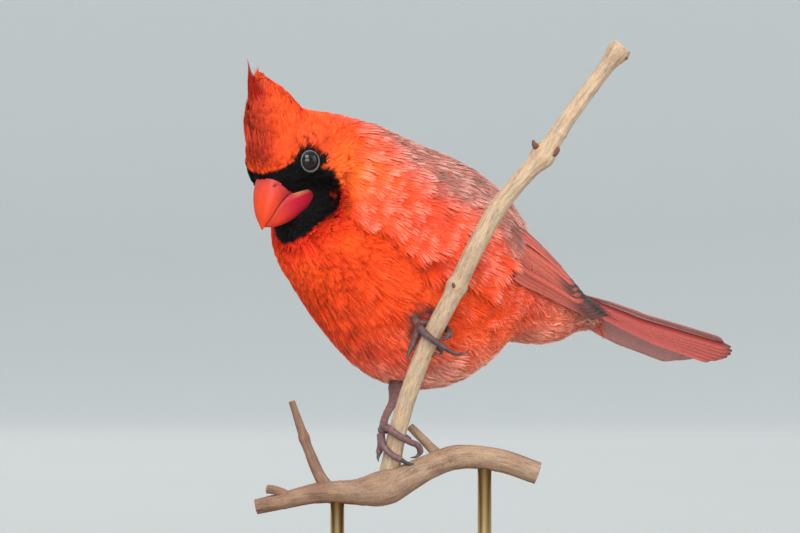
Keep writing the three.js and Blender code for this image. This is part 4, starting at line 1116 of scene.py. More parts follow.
def makeWing(side, s=wingSettings):
    rng = np.random.default_rng(40 + side)
    name = "left" if side == 1 else "right"
    parts, tints, barbs = [], [], []
    for rank in wingRanks:
        count, (rootLow, rootHigh), (tipLow, tipHigh) = rank["count"], rank["root"], rank["tip"]
        k, t, c = np.meshgrid(np.linspace(0, 1, count), np.linspace(0, 1, s["rows"]),
                              np.linspace(-1, 1, s["cols"]), indexing="ij")
        place = [mix(mix(rootLow[i], rootHigh[i], k), mix(tipLow[i], tipHigh[i], k), t) for i in range(3)]
        chance = rng.random((count, 1, 1)) + 0 * t
        bow = s["bow"] * np.sin(math.pi * t) * (rng.random((count, 1, 1)) - 0.5)
        ragged = 1 + 0.02 * np.sin(t * 60 + chance * 30) * (t > 0.5)
        half = rank["half"] * featherWidth(np.minimum(t, 0.995), rank["tipStart"], 0.10) * ragged
        reach = sheetReach(place[0], place[1] + bow, side)
        angle = place[1] + bow + c * half / reach * 57.3
        lift = place[2] + s["stagger"] * k * count + s["shingle"] * c * featherWidth(t, 0.8, 0.3)
        lift = lift - s["droop"] * c**2 + shaftRidge(c, t)
        along = place[0] - 0.012 * np.abs(c) * smooth(0.7, 1, t)
        thick = s["thick"] * mix(1, 0.45, t) * (1 - 0.5 * np.abs(c))
        top = wingPoint(along, angle, lift, side)
        parts.append(closedVanes(top, wingPoint(along, angle, lift - thick, side)))
        colour = vaneColour(rank["kind"], c, t, chance).reshape(count, -1, 3)
        tints.append(np.concatenate([colour, colour * s["underShade"]], 1).reshape(-1, 3))
        lane = barbLane(t, c, chance, 60, 9).reshape(count, -1, 3)
        barbs.append(np.concatenate([lane, lane], 1).reshape(-1, 3))
    points, faces = joined(parts)
    piece = meshFrom("wing_feathers_" + name, points, faces, flightMaterial)
    setColour(piece, np.concatenate(tints))
    setVector(piece, np.concatenate(barbs), "barb")
    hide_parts("wing_" + name)
    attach(piece, "root")


for side in (1, -1):
    makeWing(side)
print("wings ready")


# Scapulars are the loose feathers over the front of each wing.
scapularSettings = {"spacing": 1.5, "seed": 21, "turn": 0.3, "sizeSpread": 0.25, "rise": 0.5, "puff": 0.45,
                    "rootShade": 0.35, "shadeSpread": 0.5, "tipLight": 0.9, "tipColour": (1.5, 1.15, 1.0),
                    "paleShare": 0.35, "depth": 1.2, "along": (-0.10, 0.56), "degrees": (10, 122), "rows": 46,
                    "tuft": {"barbs": 14, "half": 0.34, "roundness": 0.34, "curl": 0.0}}


def scapularField(p):
    d, n = envelopeField(p)
    place = (p - wingFront) @ wingAlong / wingLength
    degrees = np.degrees(np.arctan2(np.abs(p[..., 1]), (p - wingFront) @ wingUp))
    rise = mix(0.5, 2.7, smooth(18, 58, degrees))
    return d - mix(-0.9, rise, smooth(-0.13, 0.12, place)), n


def makeScapulars(side, form=scapularSettings):
    rows = form["rows"]
    s, a = np.meshgrid(np.linspace(*form["along"], rows), np.linspace(*form["degrees"], rows), indexing="ij")
    points = wingPoint(s, a, 0.4 + 0 * s, side).reshape(-1, 3)
    grid = np.arange(rows * rows).reshape(rows, rows)
    faces = np.stack([grid[:-1, :-1], grid[:-1, 1:], grid[1:, 1:], grid[1:, :-1]], -1).reshape(-1, 4)
    base = meshFrom("shoulderBase", points, faces if side == 1 else faces[:, ::-1], None)
    _, n = envelopeField(points)
    setVector(base, n, "outward")
    lie = mix(wingAlong, np.array([0, 0, -1.0]), 0.12) + 0 * points
    setVector(base, unit(lie - n * np.sum(lie * n, 1, keepdims=True)), "lie")
    s, a = s.ravel(), a.ravel()
    end = 0.47 - 0.06 * smooth(70, 104, a) + 0.03 * wobble(points, 7, 6)
    lengthwise = smooth(-0.10, -0.05, s) * smooth(end, end - 0.05, s)
    setNumber(base, lengthwise * smooth(10, 22, a) * smooth(122, 110, a), "cover")
    setNumber(base, mix(8.0, 10.5, smooth(0, 0.4, s)) * 0.001, "size")
    unwrap(base)
    result = growCoat("scapular", base, form, scapularField, lambda p: form["depth"] + 0 * p[:, 0])
    bpy.data.objects.remove(base)
    return result


for side, name in ((1, "left"), (-1, "right")):
    addCoat("scapulars_" + name, *makeScapulars(side))


tailSettings = {"perSide": 6, "half": 4.25, "thick": 0.3, "drop": 0.25, "roof": 0.62, "centreTip": 133.4,
                "outerTip": 120.5, "startX": 66, "startZ": 106.4, "rootY": (0.8, 3.5), "tipY": (1.4, 8.4),
                "layer": 0.6, "sag": (2.6, 72, 24), "rows": 40, "cols": 11}


def makeTail(s=tailSettings):
    rng = np.random.default_rng(50)
    t, c = np.meshgrid(np.linspace(0, 1, s["rows"]), np.linspace(-1, 1, s["cols"]), indexing="ij")
    _, lay = layers(vaneColours)
    tops, bottoms, tints, barbs = [], [], [], []
    for i in range(s["perSide"]):
        for side in (1, -1):
            k = i / (s["perSide"] - 1)
            reach = mix(s["centreTip"], s["outerTip"], k * k)

            def centre(u):  # the feather's middle line
                x = mix(s["startX"], reach, u)
                y = side * mix(mix(*s["rootY"], k), mix(*s["tipY"], k), np.sqrt(np.maximum(u, 0)))
                sag = s["sag"][0] * np.clip((x - s["sag"][1]) / s["sag"][2], 0, 1) + 1.5 * (1 - u) ** 2
                fall = s["drop"] * (x - 75)
                z = s["startZ"] - fall - s["roof"] * np.abs(y) - s["layer"] * i * mix(0.4, 1, u) - sag
                return np.stack([x, -y, z], -1)

            at = centre(t[:, 0] * 0.995)
            along = unit(centre(t[:, 0] * 0.995 + 0.01) - at)
            roofUp = unit(np.array([0, side * -s["roof"], 1.0]))
            across = unit(np.cross(along, roofUp)) * side
            up = np.cross(across, along) * side
            up = np.where(up[:, 2:] < 0, -up, up)
            taper = mix(0.55, 1, np.clip(t / 0.4, 0, 1))
            half = s["half"] * featherWidth(np.minimum(t, 0.993), 0.9, 0.15) * taper
            chance = rng.random()
            bend = 0.5 * np.sin(t * 3 + chance * 6) * t
            arch = -0.35 * c**2 + shaftRidge(c, t)
            outward = across[:, None] * (half * c + bend * 0.3)[..., None]
            sweep = along[:, None] * (-1.6 * np.abs(c) ** 2 * smooth(0.85, 1, t))[..., None]
            top = at[:, None] + outward + sweep + up[:, None] * (arch + 0.15)[..., None]
            thick = s["thick"] * mix(1, 0.5, t) * (1 - 0.4 * np.abs(c))
            tops.append(top)
            bottoms.append(top - up[:, None] * thick[..., None])
            outer = c * np.sign(across[len(across) // 2, 1] * -side)  # the edge away from the tail's middle
            colour = np.broadcast_to(vaneColours["tailUpper"], c.shape + (3,))
            for name, weight in (("tailEdge", smooth(0.2, 0.8, outer)),
                                 ("inner", smooth(0.0, -0.5, outer) * 0.55),
                                 ("shaft", (1 - smooth(0.03, 0.11, np.abs(c))) * 0.7),
                                 ("tip", smooth(0.9, 1, t) * 0.45)):
                colour = lay(colour, name, weight)
            colour = colour * (0.9 + 0.2 * chance)
            # the undersides: partly their own greyish pink, partly painted light shining through the vanes
            tints += [colour.reshape(-1, 3), lay(colour, "tailUnder", 0.8 + 0 * t).reshape(-1, 3)]
            barbs += [barbLane(t, c, chance, 75, 7).reshape(-1, 3)] * 2
    points, faces = closedVanes(np.array(tops), np.array(bottoms))
    piece = meshFrom("tail_feathers", points, faces, flightMaterial)
    setColour(piece, np.concatenate(tints))
    setVector(piece, np.concatenate(barbs), "barb")
    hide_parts("tail")
    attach(piece, "root")


makeTail()
print("tail ready")


# The crest's outline: height, front edge, rear edge, half width. Then tip height by degrees from the front.
crestLines = np.array([[6, 11, -16, 9.5], [10, 10.6, -13.5, 8.4], [16, 8.8, -13, 7.4], [21, 5.9, -9.4, 5.4],
                       [25.5, 3.3, -6.4, 4], [31.5, 0.2, -5, 2.3], [37.5, -2.8, -4.5, 0.6],
                       [39.6, -3.5, -3.9, 0.1]])
crestTops = np.array([[0, 39.4], [20, 37.2], [40, 33.5], [72, 29.5], [108, 25], [146, 21.2], [180, 18.5]])
# "front" is painted shade for the crest's front, which faces away from the light.
crestColours = {"red": (0.80, 0.040, 0.010), "front": (0.30, 0.012, 0.010)}
crestRanks = [  # height of the roots, reach towards the crest's edge, degrees covered, count, half width
    {"low": 8, "reach": 0.42, "to": 180, "count": 40, "half": 1.7},
    {"low": 10.5, "reach": 0.6, "to": 180, "count": 40, "half": 1.6},
    {"low": 12.5, "reach": 0.8, "to": 180, "count": 36, "half": 1.4},
    {"low": 14.5, "reach": 1.0, "to": 165, "count": 34, "half": 1.2},
    {"low": 18, "reach": 0.85, "to": 110, "count": 24, "half": 1.1},
    {"low": 21, "reach": 1.0, "to": 85, "count": 18, "half": 0.9},
    {"low": 25, "reach": 1.0, "to": 45, "count": 9, "half": 0.7},
    {"low": 15, "reach": 1.0, "to": 180, "count": 30, "half": 0.45, "stray": 2.6},
]


def crestPoint(height, degrees, lift):
    front, rear, half = (np.interp(height, crestLines[:, 0], crestLines[:, k]) for k in (1, 2, 3))
    a = np.radians(degrees)
    f = (front + rear) / 2 + ((front - rear) / 2 + lift) * np.cos(a)
    l = (half + lift) * np.sin(a)
    return headAt + forward * f[..., None] + crown * height[..., None] + leftward * l[..., None]


def makeCrest():
    _, lay = layers(crestColours)
    rng = np.random.default_rng(60)
    parts, tints, spots = [], [], []
    for number, rank in enumerate(crestRanks):
        for i in range(rank["count"]):
            shape, faces, along, across = tuftShape(number * 50 + i, 7, 0.5, 0.45, 0.55)
            turn = mix(-rank["to"], rank["to"], (i + rng.uniform(-0.4, 0.4)) / (rank["count"] - 1))
            most = np.interp(abs(turn), *crestTops.T)
            low = rank["low"] + rng.normal(0, 0.8)
            high = low + max(mix(low, most, rank["reach"]) - low, 4.5) + rng.normal(0, 0.7)
            high = min(high, most + 0.4, 39.3)
            height = mix(low, high, along)
            middle = np.interp(height, crestLines[:, 0], (crestLines[:, 1] - crestLines[:, 2]) / 2)
            width = shape[:, 0] / 0.5 * rank["half"] * (1 - 0.75 * along**1.5)
            degrees = turn + np.degrees(width / np.maximum(middle, 1.2))
            flare = mix(0.05, 0.45, smooth(40, 180, abs(turn)))
            stray = flare * along**2 * rng.uniform(0.3, 1.2) * rank.get("stray", 1)
            points = crestPoint(height, degrees, -0.9 * (1 - along) + (0.15 + stray) + shape[:, 2] * 3)
            colour = plumageColour(points, unit(points - headPoint(-3, 14)))
            # painted shade: each feather is darker towards its root, where the others cover it
            depth = mix(0.5, 1.05, smooth(0, 0.5, along))[:, None]
            colour = lay(colour, "red", 0.55 + 0 * along) * depth * rng.uniform(0.82, 1.12)
            # painted shade on the front of the crest
            colour = lay(colour, "front", 0.8 * (smooth(90, 25, abs(turn)) * smooth(7, 12, height)))
            parts.append((points, faces))
            tints.append(colour)
            spot = [0.1 + 0.8 * (turn + 180) / 360 + across * 0.0015, 0.1 + 0.8 * low / 40 + along * 0.002]
            spots.append(np.stack(spot, -1))
    points, faces = joined(parts)
    piece = meshFrom("crest_feathers", points, faces, coatMaterial)
    setColour(piece, np.concatenate(tints))
    cornerMap(piece, np.concatenate(spots))
    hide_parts("crest")
    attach(piece, "root")
    print("crest ready", len(faces))


makeCrest()


billSettings = {
    "bite": [[-3, -8.8], [1, -8], [6, -5.6], [10.9, -4.2], [14.8, -4.9], [19, -7.4], [21.8, -9.6]],
    "gap": 0.5,
    "culmen": [[-3, 5], [4, 5.9], [9, 5.1], [13.5, 2.9], [17.6, -0.6], [20.8, -5], [22.5, -9.7]],
    "culmenWidths": [7, 7, 6.7, 6.1, 4.9, 3, 0.5],
    "keel": [[-3, -12.5], [1, -13.2], [6, -13.8], [11, -13.6], [15.5, -12.7], [18.6, -11.4], [20.9, -9.8]],
    "keelWidths": [7.6, 8.1, 8.0, 7.0, 5.1, 3, 0.5],
    "nostril": [13.2, 0.9, 3.9],
}
# "culmen" is a painted highlight along the bill's ridge.
# "nostril" is painted shade in the nostril's shallow dent, where the opening is dark.
billColours = {
    "pinkRed": (0.40, 0.022, 0.028), "orange": (0.66, 0.056, 0.014), "crimson": (0.46, 0.013, 0.034),
    "gape": (0.62, 0.30, 0.13), "culmen": (0.82, 0.22, 0.16), "nostril": (0.05, 0.008, 0.008),
}
# Each mandible: its outer line, the widths along it, how square its section is, its side of the bite, its
# colour, and how strongly the orange tip, the painted highlight on the culmen and the shadow along the bite
# show.
mandibles = {
    "upper": ("culmen", "culmenWidths", 0.85, 1, "pinkRed", 0.95, 0.08, 0.6),
    "lower": ("keel", "keelWidths", 0.6, -1, "crimson", 0.75, 0, 0.15),
}


def mandible(outerLine, widths, squareness, shift, s=billSettings):  # rings of head places, root to tip
    rows, arc = 70, 48
    t = np.linspace(0, 1, rows)
    flat = lambda line, u: routePoint([[*p, 0] for p in line], u)[:, :2]
    outer = flat(outerLine, t)
    bite = flat(s["bite"], np.minimum(t, 0.965) if shift < 0 else t)
    bite[:, 1] += shift
    half = routePoint([[i, w, 0] for i, w in enumerate(widths)], t)[:, 1]
    turn = math.pi * (np.linspace(0, 1, arc + 1) - 0.5)
    height = np.maximum(0, np.cos(turn)) ** squareness
    across = np.sign(turn) * np.abs(np.sin(turn)) ** squareness
    f = mix(bite[:, :1], outer[:, :1], height)
    n = mix(bite[:, 1:], outer[:, 1:], height)
    l = across * half[:, None]
    return np.stack([f, n, l], -1)


def makeBill(s=billSettings):
    c, lay = layers(billColours)
    for name, (line, widths, square, above, base, tipShare, culmenHighlightShare, shadowShare) in mandibles.items():
        rings = mandible(s[line], s[widths], square, above * s["gap"] / 2)
        pit = np.zeros(rings.shape[:2])
        if name == "upper":
            for side in (1, -1):
                away = (rings - np.array(s["nostril"]) * [1, 1, side]) / np.array([0.95, 0.5, 3])
                pit += np.exp(-np.sum(away**2, -1) * 1.6)
            rings = rings - np.sign(rings[..., 2:]) * [0, 0, 1] * pit[..., None] * 0.45
        points, faces = closedLoft(headAt + rings @ headFrame)
        flatRings = np.concatenate([rings.reshape(-1, 3), [rings[0].mean(0)], [rings[-1].mean(0)]])
        f, n = flatRings[:, 0], flatRings[:, 1]
        overBite = n - np.interp(f, [p[0] for p in s["bite"]], [p[1] for p in s["bite"]])
        edge = np.exp(-(overBite**2) / 0.16)
        shadow = np.exp(-((overBite - 1.0) ** 2) / 1.6) * smooth(17, 9, f) * shadowShare
        colour = lay(c[base], "orange", smooth(10, 19, f) * tipShare)
        # a painted highlight along the culmen
        colour = lay(colour, "culmen", np.exp(-((n - 2.5) ** 2) / 6) * smooth(8, 15, f) * culmenHighlightShare)
        colour = mix(colour, colour * 0.55, shadow[:, None])
        colour = lay(colour, "gape", edge * smooth(12, 7, f) * 0.8)
        # painted shade in the gap along the bite line, towards the tip
        colour = mix(colour, colour * 0.45, (edge * smooth(9, 14, f) * 0.6)[:, None])
        # the nostril: painted shade in its shallow dent, for the dark opening
        colour = lay(colour, "nostril", np.append(pit.ravel(), [0, 0]) * 1.1)
        colour = colour * (1 + 0.06 * wobble(points, 2.5, 3))[:, None]
        piece = meshFrom("mandible_" + name, points, faces, billMaterial)
        setColour(piece, colour)
        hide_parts("bill_" + name)
        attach(piece, "root")


makeBill()


eyeColours = {"pupil": (0.002, 0.002, 0.002), "iris": (0.012, 0.009, 0.008), "rim": (0.004, 0.004, 0.004),
              "lid": (0.008, 0.007, 0.007), "ring": (0.105, 0.10, 0.10)}
# The lid's section, outwards and up: a raised rim outside, and a dark margin that slopes in to the eyeball.
lidSection = np.array([[3.42, -0.9], [3.5, -0.35], [3.42, 0.02], [3.28, 0.2], [3.12, 0.24], [2.98, 0.14],
                       [2.86, 0.02], [2.7, 0.0], [2.52, 0.12], [2.38, 0.2], [2.34, 0.05], [2.4, -0.5],
                       [2.6, -1.1], [2.9, -1.4], [3.2, -1.4], [3.4, -1.2]])


def makeEye(side, s=eyeSettings):
    c, lay = layers(eyeColours)
    name = "left" if side == 1 else "right"
    out, surface, centre = eyeFrame(side)
    aside = unit(np.cross(out, [0, 0, 1.0]))
    up = np.cross(aside, out)
    rows, sides = 60, 64
    polar = math.pi * (np.arange(1, rows) / rows)[:, None]
    a = np.linspace(0, 2 * np.pi, sides, endpoint=False)[None]
    spoke = aside * np.cos(a)[..., None] + up * np.sin(a)[..., None]
    ring = (out * np.cos(polar)[..., None] + spoke * np.sin(polar)[..., None]) * s["radius"]
    points, faces = closedLoft(centre + ring, centre + out * s["radius"], centre - out * s["radius"])
    r = np.linalg.norm((points - centre) - out * ((points - centre) @ out)[:, None], axis=1)
    colour = lay(c["pupil"], "iris", smooth(s["pupil"] - 0.1, s["pupil"] + 0.1, r))
    colour = lay(colour, "rim", smooth(s["iris"] - 0.25, s["iris"] + 0.1, r))
    ball = meshFrom("eyeball_" + name, points, faces, eyeMaterial)
    setColour(ball, colour)
    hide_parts("eye_" + name)
    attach(ball, "root")
    turns, around = 96, len(lidSection)
    u = np.linspace(0, 2 * np.pi, turns, endpoint=False)[:, None]
    lumps = 0.85 + 0.09 * np.sin(u * 15) + 0.07 * np.sin(u * 31 + 1)
    oval = 1 + 0.055 * np.cos(2 * (u - 1.25))
    spoke = aside * np.cos(u)[..., None] + up * np.sin(u)[..., None]
    reach = lidSection[None, :, 0] * oval
    height = lidSection[None, :, 1]
    lift = height * np.where(height > 0, lumps, 1) + s["lidLift"] - 0.12
    points = (surface + spoke * reach[..., None] + out * lift[..., None]).reshape(-1, 3)
    i, j = np.meshgrid(np.arange(turns), np.arange(around), indexing="ij")
    quad = lambda p, q: (p % turns) * around + q % around
    faces = np.stack([quad(i, j), quad(i + 1, j), quad(i + 1, j + 1), quad(i, j + 1)], -1).reshape(-1, 4)
    ring = meshFrom("eyelid_" + name, points, faces, lidMaterial)
    rim = smooth(3.0, 3.1, np.tile(lidSection[:, 0], turns)) * np.tile(lidSection[:, 1] > 0.1, turns)
    colour = lay(c["lid"], "ring", rim)
    setColour(ring, colour * (1 + 0.5 * wobble(points, 0.8, 7))[:, None])
    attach(ring, "root")


for side in (1, -1):
    makeEye(side)
print("head ready")


# Rows of the stem and the branch: across the view, height, depth and radius. Knobs add height and width.
stem = np.array([[-5.2, 43, -24, 3.9], [-3.6, 48.5, -24.6, 3.2], [-0.6, 62.9, -27, 2.85],
                 [4.8, 80.4, -31, 2.85], [10.2, 93.2, -34, 2.9], [17.5, 107.5, -36.4, 3],
                 [24.8, 122.5, -38, 3], [31.8, 134.5, -39, 2.9], [38.1, 142.4, -39.4, 2.8],
                 [45.4, 150.4, -39.8, 2.8], [54, 163.1, -40.4, 2.5], [63.5, 175.8, -41, 2.4],
                 [70.6, 185, -41.6, 2.6]])
stemBud = np.array([[44.5, 150.5, -40, 1.6], [48.6, 150.6, -41.5, 1.0], [50.2, 152.4, -41.8, 0.7]])
smallBuds = [([[43.6, 152.4, -41.5], [42.6, 153.8, -42.6], [42.2, 155, -43.0]], [1.1, 0.9, 0.35]),
             ([[17.2, 108.6, -39.3], [16.8, 109.6, -40.3]], [0.9, 0.4]),
             ([[9.6, 86.6, -33.2], [11.6, 87.4, -33.8]], [0.8, 0.35]),
             ([[70.6, 181.6, -42.5], [72.0, 181.0, -43.2]], [1.0, 0.5])]
stemKnobs = [(44.8, 150.6, -39.8, 1.25, 2.6), (43.2, 153.4, -40.8, 0.8, 1.4), (69.2, 183, -41.6, 1.1, 2.4),
             (17.9, 108.4, -38.2, 1.3, 1.5), (10.2, 86.9, -32.4, 0.5, 1.0)]
branch = np.array([[-46, 38.2, -24.5, 2.4], [-38, 40, -25.2, 2.7], [-26, 42.8, -26.5, 3.2],
                   [-12, 43.2, -27, 4.2], [-3, 45, -27, 4.9], [9, 51, -26, 4.0], [18, 54, -25, 3.8],
                   [32, 53, -24, 3.7], [44, 49, -23, 3.6]])
twigs = [np.array([[-22, 43, -26.5, 2.2], [-25.5, 48, -26.8, 1.9], [-29, 56, -27.5, 1.6],
                   [-31.5, 63, -28, 1.4], [-34.5, 72, -28.5, 1.0]]),
         np.array([[14, 53, -26, 2.0], [9.5, 57.5, -22, 1.5], [3.5, 63.5, -17, 1.3]]),
         np.array([[-34, 41, -25.5, 1.6], [-39.5, 43.5, -26.2, 1.4], [-42.5, 44, -26.6, 1.4]])]
branchKnobs = [(-5, 43.5, -25.8, 0.9, 4.0), (-8.5, 40.5, -27, 1.0, 2.2), (-30.2, 60.5, -28.5, 0.5, 1.2),
               (-26, 45, -26.5, 0.6, 1.6), (18, 56, -25, 0.5, 1.4)]


def barkRelief(knobs, depth, seed):
    spots = [(perchPoint(*k[:3]), k[3], k[4]) for k in knobs]

    def relief(t, a, at, r):
        rng = np.random.default_rng(seed)
        total = np.zeros(np.broadcast_shapes(t.shape, a.shape))
        for _ in range(9):  # long low ridges that wander round the stem
            k, ridge = rng.integers(2, 11), rng.uniform(0, 6.3)
            bend = 2.2 * np.sin(t * rng.uniform(4, 16) + rng.uniform(0, 6.3))
            total += np.sin(k * a + ridge + bend) / k**0.5
        total = depth * total / 3
        for _ in range(14):  # shallow rings and wrinkles
            place, size = rng.random(), rng.uniform(0.002, 0.006)
            sweep = 0.6 + 0.4 * np.sin(a + rng.uniform(0, 6))
            total += depth * 0.9 * np.exp(-(((t - place) / size) ** 2)) * sweep
        for spot, height, width in spots:
            swell = np.exp(-np.sum((at - spot) ** 2, -1) / (2 * (width * 0.9) ** 2))
            total += height * swell[:, None]
        return total

    return relief


barkColours = {"tan": (0.49, 0.345, 0.225), "grey": (0.42, 0.33, 0.25), "brown": (0.22, 0.125, 0.085),
               "dark": (0.11, 0.06, 0.038), "scar": (0.30, 0.11, 0.07), "cut": (0.62, 0.47, 0.30),
               "branchCut": (0.58, 0.43, 0.29)}
budTint = [0.36, 0.24, 0.24]


def barkColour(p, darkness, knobs, seed):
    c, lay = layers(barkColours)
    stretched = np.stack([p[:, 0], p[:, 1], p[:, 2] * 0.22], -1)
    colour = np.repeat(c["tan"][None], len(p), 0)
    colour = lay(colour, "grey", smooth(-0.4, 0.6, wobble(stretched, 1.6, seed)) * 0.7)
    colour = lay(colour, "brown", darkness + 0.35 * wobble(p, 9, seed + 1))
    colour = lay(colour, "dark", smooth(0.3, 0.95, wobble(stretched, 0.9, seed + 2)) * (0.4 + 0.45 * darkness))
    for k in knobs:
        near = np.linalg.norm(p - perchPoint(*k[:3]), axis=1)
        scar = (1 - smooth(k[4] * 0.8, k[4] * 1.8, near)) * 0.55
        colour = lay(colour, "scar", scar * (0.6 + 0.6 * wobble(p, 1.2, 3)))
    return colour


def barkPiece(name, parts, shift=0.0):
    points, faces = joined([part[:2] for part in parts])
    piece = meshFrom(name, points, faces, barkMaterial)
    setVector(piece, np.concatenate([part[2] for part in parts]) + shift, "grain")
    return piece, points


def budRelief(t, a, at, r):
    return 0.12 * np.sin(3 * a + t * 5) + 0 * t


def makePerch():
    _, lay = layers(barkColours)
    spread = lambda rows: (perchPoint(*rows[:, :3].T), rows[:, 3])
    main = tube(*spread(stem), 520, 56, 0.1, 0.05, barkRelief(stemKnobs, 0.10, 5), True)
    parts = [main, tube(*spread(stemBud), 30, 24, 0.2, 0.9, budRelief, True)]
    for stops, radii in smallBuds:
        parts.append(tube(perchPoint(*np.array(stops).T), radii, 16, 16, 0.2, 0.8, None, True))
    piece, points = barkPiece("stem_bark", parts)
    colour = barkColour(points, 0.05, stemKnobs, 30)
    before, top = perchPoint(*stem[-2:, :3].T)
    cut = 1 - smooth(0.2, 0.7, np.abs((points - top) @ unit(top - before)))
    colour = lay(colour, "cut", cut * (np.linalg.norm(points - top, axis=1) < 3.2) * 0.8)
    late = np.arange(len(points)) >= len(main[0])
    setColour(piece, np.where(late[:, None], colour * budTint, colour))
    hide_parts("perch_stem")
    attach(piece, "root")
    parts = [tube(*spread(branch), 340, 64, 0.05, 0.05, barkRelief(branchKnobs, 0.17, 8), True)]
    for i, rows in enumerate(twigs):
        relief = barkRelief(branchKnobs[2:3], 0.10, 10 + i)
        parts.append(tube(*spread(rows), 120, 28, 0.6, 0.35, relief, True))
    piece, points = barkPiece("branch_bark", parts, [7, 3, 0])
    end = (points - perchPoint(-46, 38.2, -24.5)) @ perchPoint(1, 0, 0)
    colour = barkColour(points, 0.6 + 0.4 * smooth(45, 15, end), branchKnobs, 35)
    cuts = np.cumsum([len(part[0]) for part in parts])
    colour[np.concatenate([cuts - 1, cuts - 2])] = barkColours["branchCut"]  # the middles of the sawn ends
    setColour(piece, colour)
    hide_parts("perch_branch")
    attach(piece, "root")


makePerch()
print("perch ready")


stemAt = routePoint(perchPoint(*stem[:, :3].T), np.linspace(0, 1, 3000))
stemWay = unit(np.gradient(stemAt, axis=0))
footSettings = {"skin": 3.25, "pad": 1.75, "toe": 1.25, "claw": 0.78, "scute": 1.15, "legRadius": 3.2}
footColours = {"toe": (0.145, 0.078, 0.078), "warm": (0.30, 0.145, 0.13), "claw": (0.060, 0.042, 0.044),
               "shank": (0.17, 0.088, 0.082)}


def roundStem(height, degrees, out):  # a place round the stem; 0 degrees faces the camera
    k = int(np.argmin(np.abs(stemAt[:, 2] - height)))
    at, along = stemAt[k], stemWay[k]
    toView = perchPoint(0, 0, -1)
    toView = unit(toView - along * (toView @ along))
    right = unit(np.cross(along, toView))
    a = math.radians(degrees)
    return at + toView * out * math.cos(a) + right * out * math.sin(a)


# Toes: height, degrees, lift. Claws: height, degrees, distance from the stem's middle. Legs as the stem.
feet = {
    "left": {
        "pad": [93.8, -104],
        "toes": [[[93.8, -104, 0.5], [93.6, -50], [93, -5, 0.1], [92.4, 38, 0.5], [91.8, 62, 1.8]],
                 [[94.4, -104, 0.5], [95.4, -160], [96.2, -215], [96, -262, 0.4], [95.2, -292, 0.9]],
                 [[93.6, -106, 0.5], [92, -160], [90.8, -215], [90.2, -255, 0.2]],
                 [[93.2, -100, 0.4], [90, -96, 0.1], [87.2, -84, 0.1]]],
        "claws": [[[91.8, 62, 6.2], [91.4, 74, 8], [91.4, 84, 10.2], [92.6, 88, 12], [94.2, 88, 12.8]],
                  [[95.2, -292, 5], [94.2, -312, 5.4], [93.6, -330, 5.2]],
                  [[90.2, -255, 4.5], [89.6, -276, 5.2], [89.2, -292, 5]],
                  [[87.2, -84, 4.4], [85.4, -74, 4.6], [83.8, -62, 4.2]]],
        "leg": [[2, 108, -18, 5], [4.2, 101.5, -25.5, 3], [5, 98, -29, 1.4]],
    },
    "right": {
        "pad": [61.6, -102],
        "toes": [[[62.6, -102, 0.5], [63.2, -45], [62.2, 0], [60.8, 50, 1], [59.6, 76, 3.4], [57.4, 84, 4.4]],
                 [[60, -98, 0.6], [57.6, -52, 0.1], [55.8, -8, 0.2], [54.6, 34, 0.9]],
                 [[60.2, -104, 0.6], [57.4, -100, 0.2], [54.6, -92, 0.2]],
                 [[61.6, -104, 0.6], [61.4, -160], [60.6, -212], [60.2, -250, 0.2]]],
        "claws": [[[57.4, 84, 8.6], [56, 78, 7.6], [55.4, 66, 6.2]],
                  [[54.6, 34, 5], [53.8, 52, 6.6], [53.8, 66, 8.8], [54.6, 73, 10.6]],
                  [[54.6, -92, 4.4], [53.2, -84, 4.5], [52.2, -70, 4.4]],
                  [[60.2, -250, 4.4], [59.8, -272, 5.2], [59.4, -290, 5]]],
        "leg": [[0.5, 82, 4, 8], [-0.5, 75, -6, 3.4], [-2.4, 71.2, -13, 1.5], [-4.6, 67, -20, 1.25]],
    },
}


def scuteRelief(length, pitch, seed):
    rng = np.random.default_rng(seed)

    def relief(t, a, at, r):
        count = max(3, round(length / pitch))
        plate = np.abs(np.sin(math.pi * count * t)) ** 0.6 - 0.6
        knuckle = 0.10 * np.sin(math.pi * 2.2 * t + 0.4)
        return r * (0.075 * plate * (0.6 + 0.4 * np.cos(a)) + knuckle * 0.6 + 0.03 * np.sin(5 * a + 9 * t))

    return relief


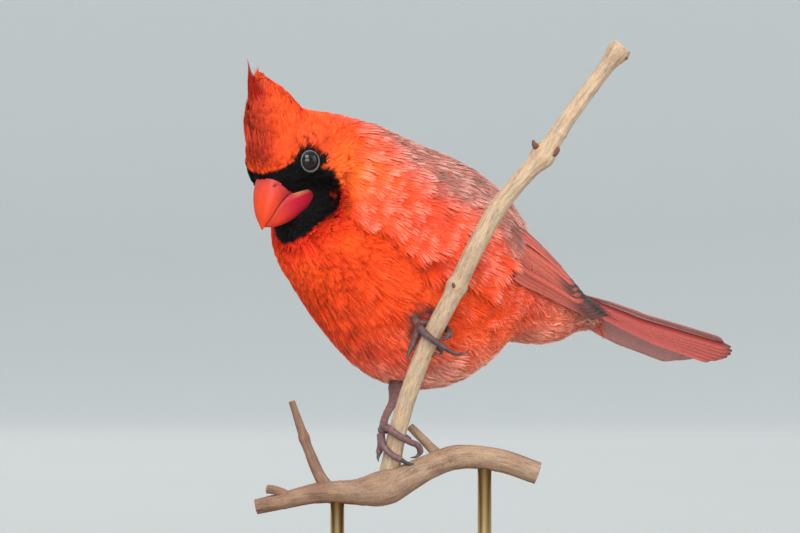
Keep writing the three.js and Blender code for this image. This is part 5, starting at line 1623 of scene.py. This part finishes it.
def makeFeet(s=footSettings):
    c, lay = layers(footColours)
    for name, spec in feet.items():
        toes, claws = [], []
        for i, stops in enumerate(spec["toes"]):
            radii = [s["toe"] * mix(1, 0.78, k / (len(stops) - 1)) for k in range(len(stops))]
            lifts = [stop[2] if len(stop) > 2 else 0 for stop in stops]
            route = [roundStem(*stop[:2], s["skin"] + r + lift) for stop, r, lift in zip(stops, radii, lifts)]
            length = np.linalg.norm(np.diff(route, axis=0), axis=1).sum()
            relief = scuteRelief(length, s["scute"], i)
            toes.append(tube(route, radii, 26 * (len(stops) - 1), 20, 0.6, 0.8, relief))
        middle = [roundStem(*spec["pad"], s["skin"] + s["pad"] + k) for k in (-1.0, 0.0, 1.0)]
        points, faces = joined([*toes, tube(middle, [1.3, 1.75, 1.2], 24, 20, 0.5, 0.5)])
        foot = meshFrom("toes_" + name, points, faces, legMaterial)
        # painted shade: the left foot is darkened, as it sits under the belly
        bellyShade = 0.62 if name == "left" else 1
        colour = c["toe"] * bellyShade * (1 + 0.45 * wobble(points, 1.2, 3))[:, None]
        setColour(foot, lay(colour, "warm", smooth(0.1, 0.8, wobble(points, 2.4, 6)) * 0.5))
        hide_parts("foot_" + name)
        for stops in spec["claws"]:
            radii = [s["claw"] * mix(1, 0.16, k / (len(stops) - 1)) for k in range(len(stops))]
            claws.append(tube([roundStem(*stop) for stop in stops], radii, 44, 18, 0.8, 0.8))
        points, faces = joined(claws)
        claw = meshFrom("claws_" + name, points, faces, clawMaterial)
        setColour(claw, c["claw"] * (1 + 0.3 * wobble(points, 1.5, 5))[:, None])
        rows = np.array(spec["leg"])
        stops = [*perchPoint(*rows[:, :3].T), roundStem(*spec["pad"], s["skin"] + s["pad"])]
        radii = [*np.minimum(rows[:, 3], s["legRadius"]), 1.2]
        points, faces = tube(stops, radii, 110, 24, 0.4, 0.3, scuteRelief(18, 1.6, 9))
        shank = meshFrom("shank_" + name, points, faces, legMaterial)
        # painted shade where the leg goes into the plumage, stronger on the left
        shadeUnderFeathers = smooth(9, 2, np.linalg.norm(points - stops[1], axis=1)) * (0.85 if name == "left" else 0.3)
        setColour(shank, c["shank"] * ((1 + 0.4 * wobble(points, 1.2, 4)) * (1 - shadeUnderFeathers))[:, None])
        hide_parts("leg_" + name)
        for piece in (foot, claw, shank):
            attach(piece, "root")


makeFeet()
print("feet ready")


standSettings = {"radius": 62, "thick": 10, "bevel": 2, "rod": 2.2, "gap": 0.3,
                 "rods": {"front": (-20, -26.8, 41.0), "back": (27, -24.4, 51.5)}}


def turned(profile, sides, at=(0, 0)):  # radius and height, turned round an upright line
    a = np.linspace(0, 2 * np.pi, sides, endpoint=False)
    rings = [np.stack([at[0] + r * np.cos(a), at[1] + r * np.sin(a), h + 0 * a], -1) for r, h in profile]
    return closedLoft(np.stack(rings))


def makeStand(s=standSettings):
    r, t = s["radius"], s["thick"]
    curve = np.linspace(0, math.pi / 2, 8)
    edge = [(r - s["bevel"] * (1 - math.cos(k)), t - s["bevel"] * (1 - math.sin(k))) for k in curve]
    cove = [(r - 6.0, t), (r - 6.6, t - 0.35), (r - 7.4, t - 0.35), (r - 8.0, t)]
    bead = [(r - 1, 0), (r - 0.3, 0.3), (r, 1), (r, 4.5), (r - 0.35, 4.8), (r - 0.35, 5.2), (r, 5.5)]
    points, faces = turned([*bead, *edge, *cove], 160)
    base = meshFrom("turned_base", points, faces, woodMaterial)
    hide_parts("stand_base")
    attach(base, "root")
    for name, (across, depth, top) in s["rods"].items():
        collar = [(3.6, t + s["gap"]), (3.6, t + 1.6), (3.3, t + 2.1), (2.4, t + 2.4)]
        stick = [(s["rod"], t + 2.5), (s["rod"], top)]
        points, faces = turned([*collar, *stick], 56, perchPoint(across, 0, depth))
        rod = meshFrom("rod_" + name, points, faces, brassMaterial)
        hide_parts("stand_rod_" + name)
        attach(rod, "root")


makeStand()
print("stand ready")
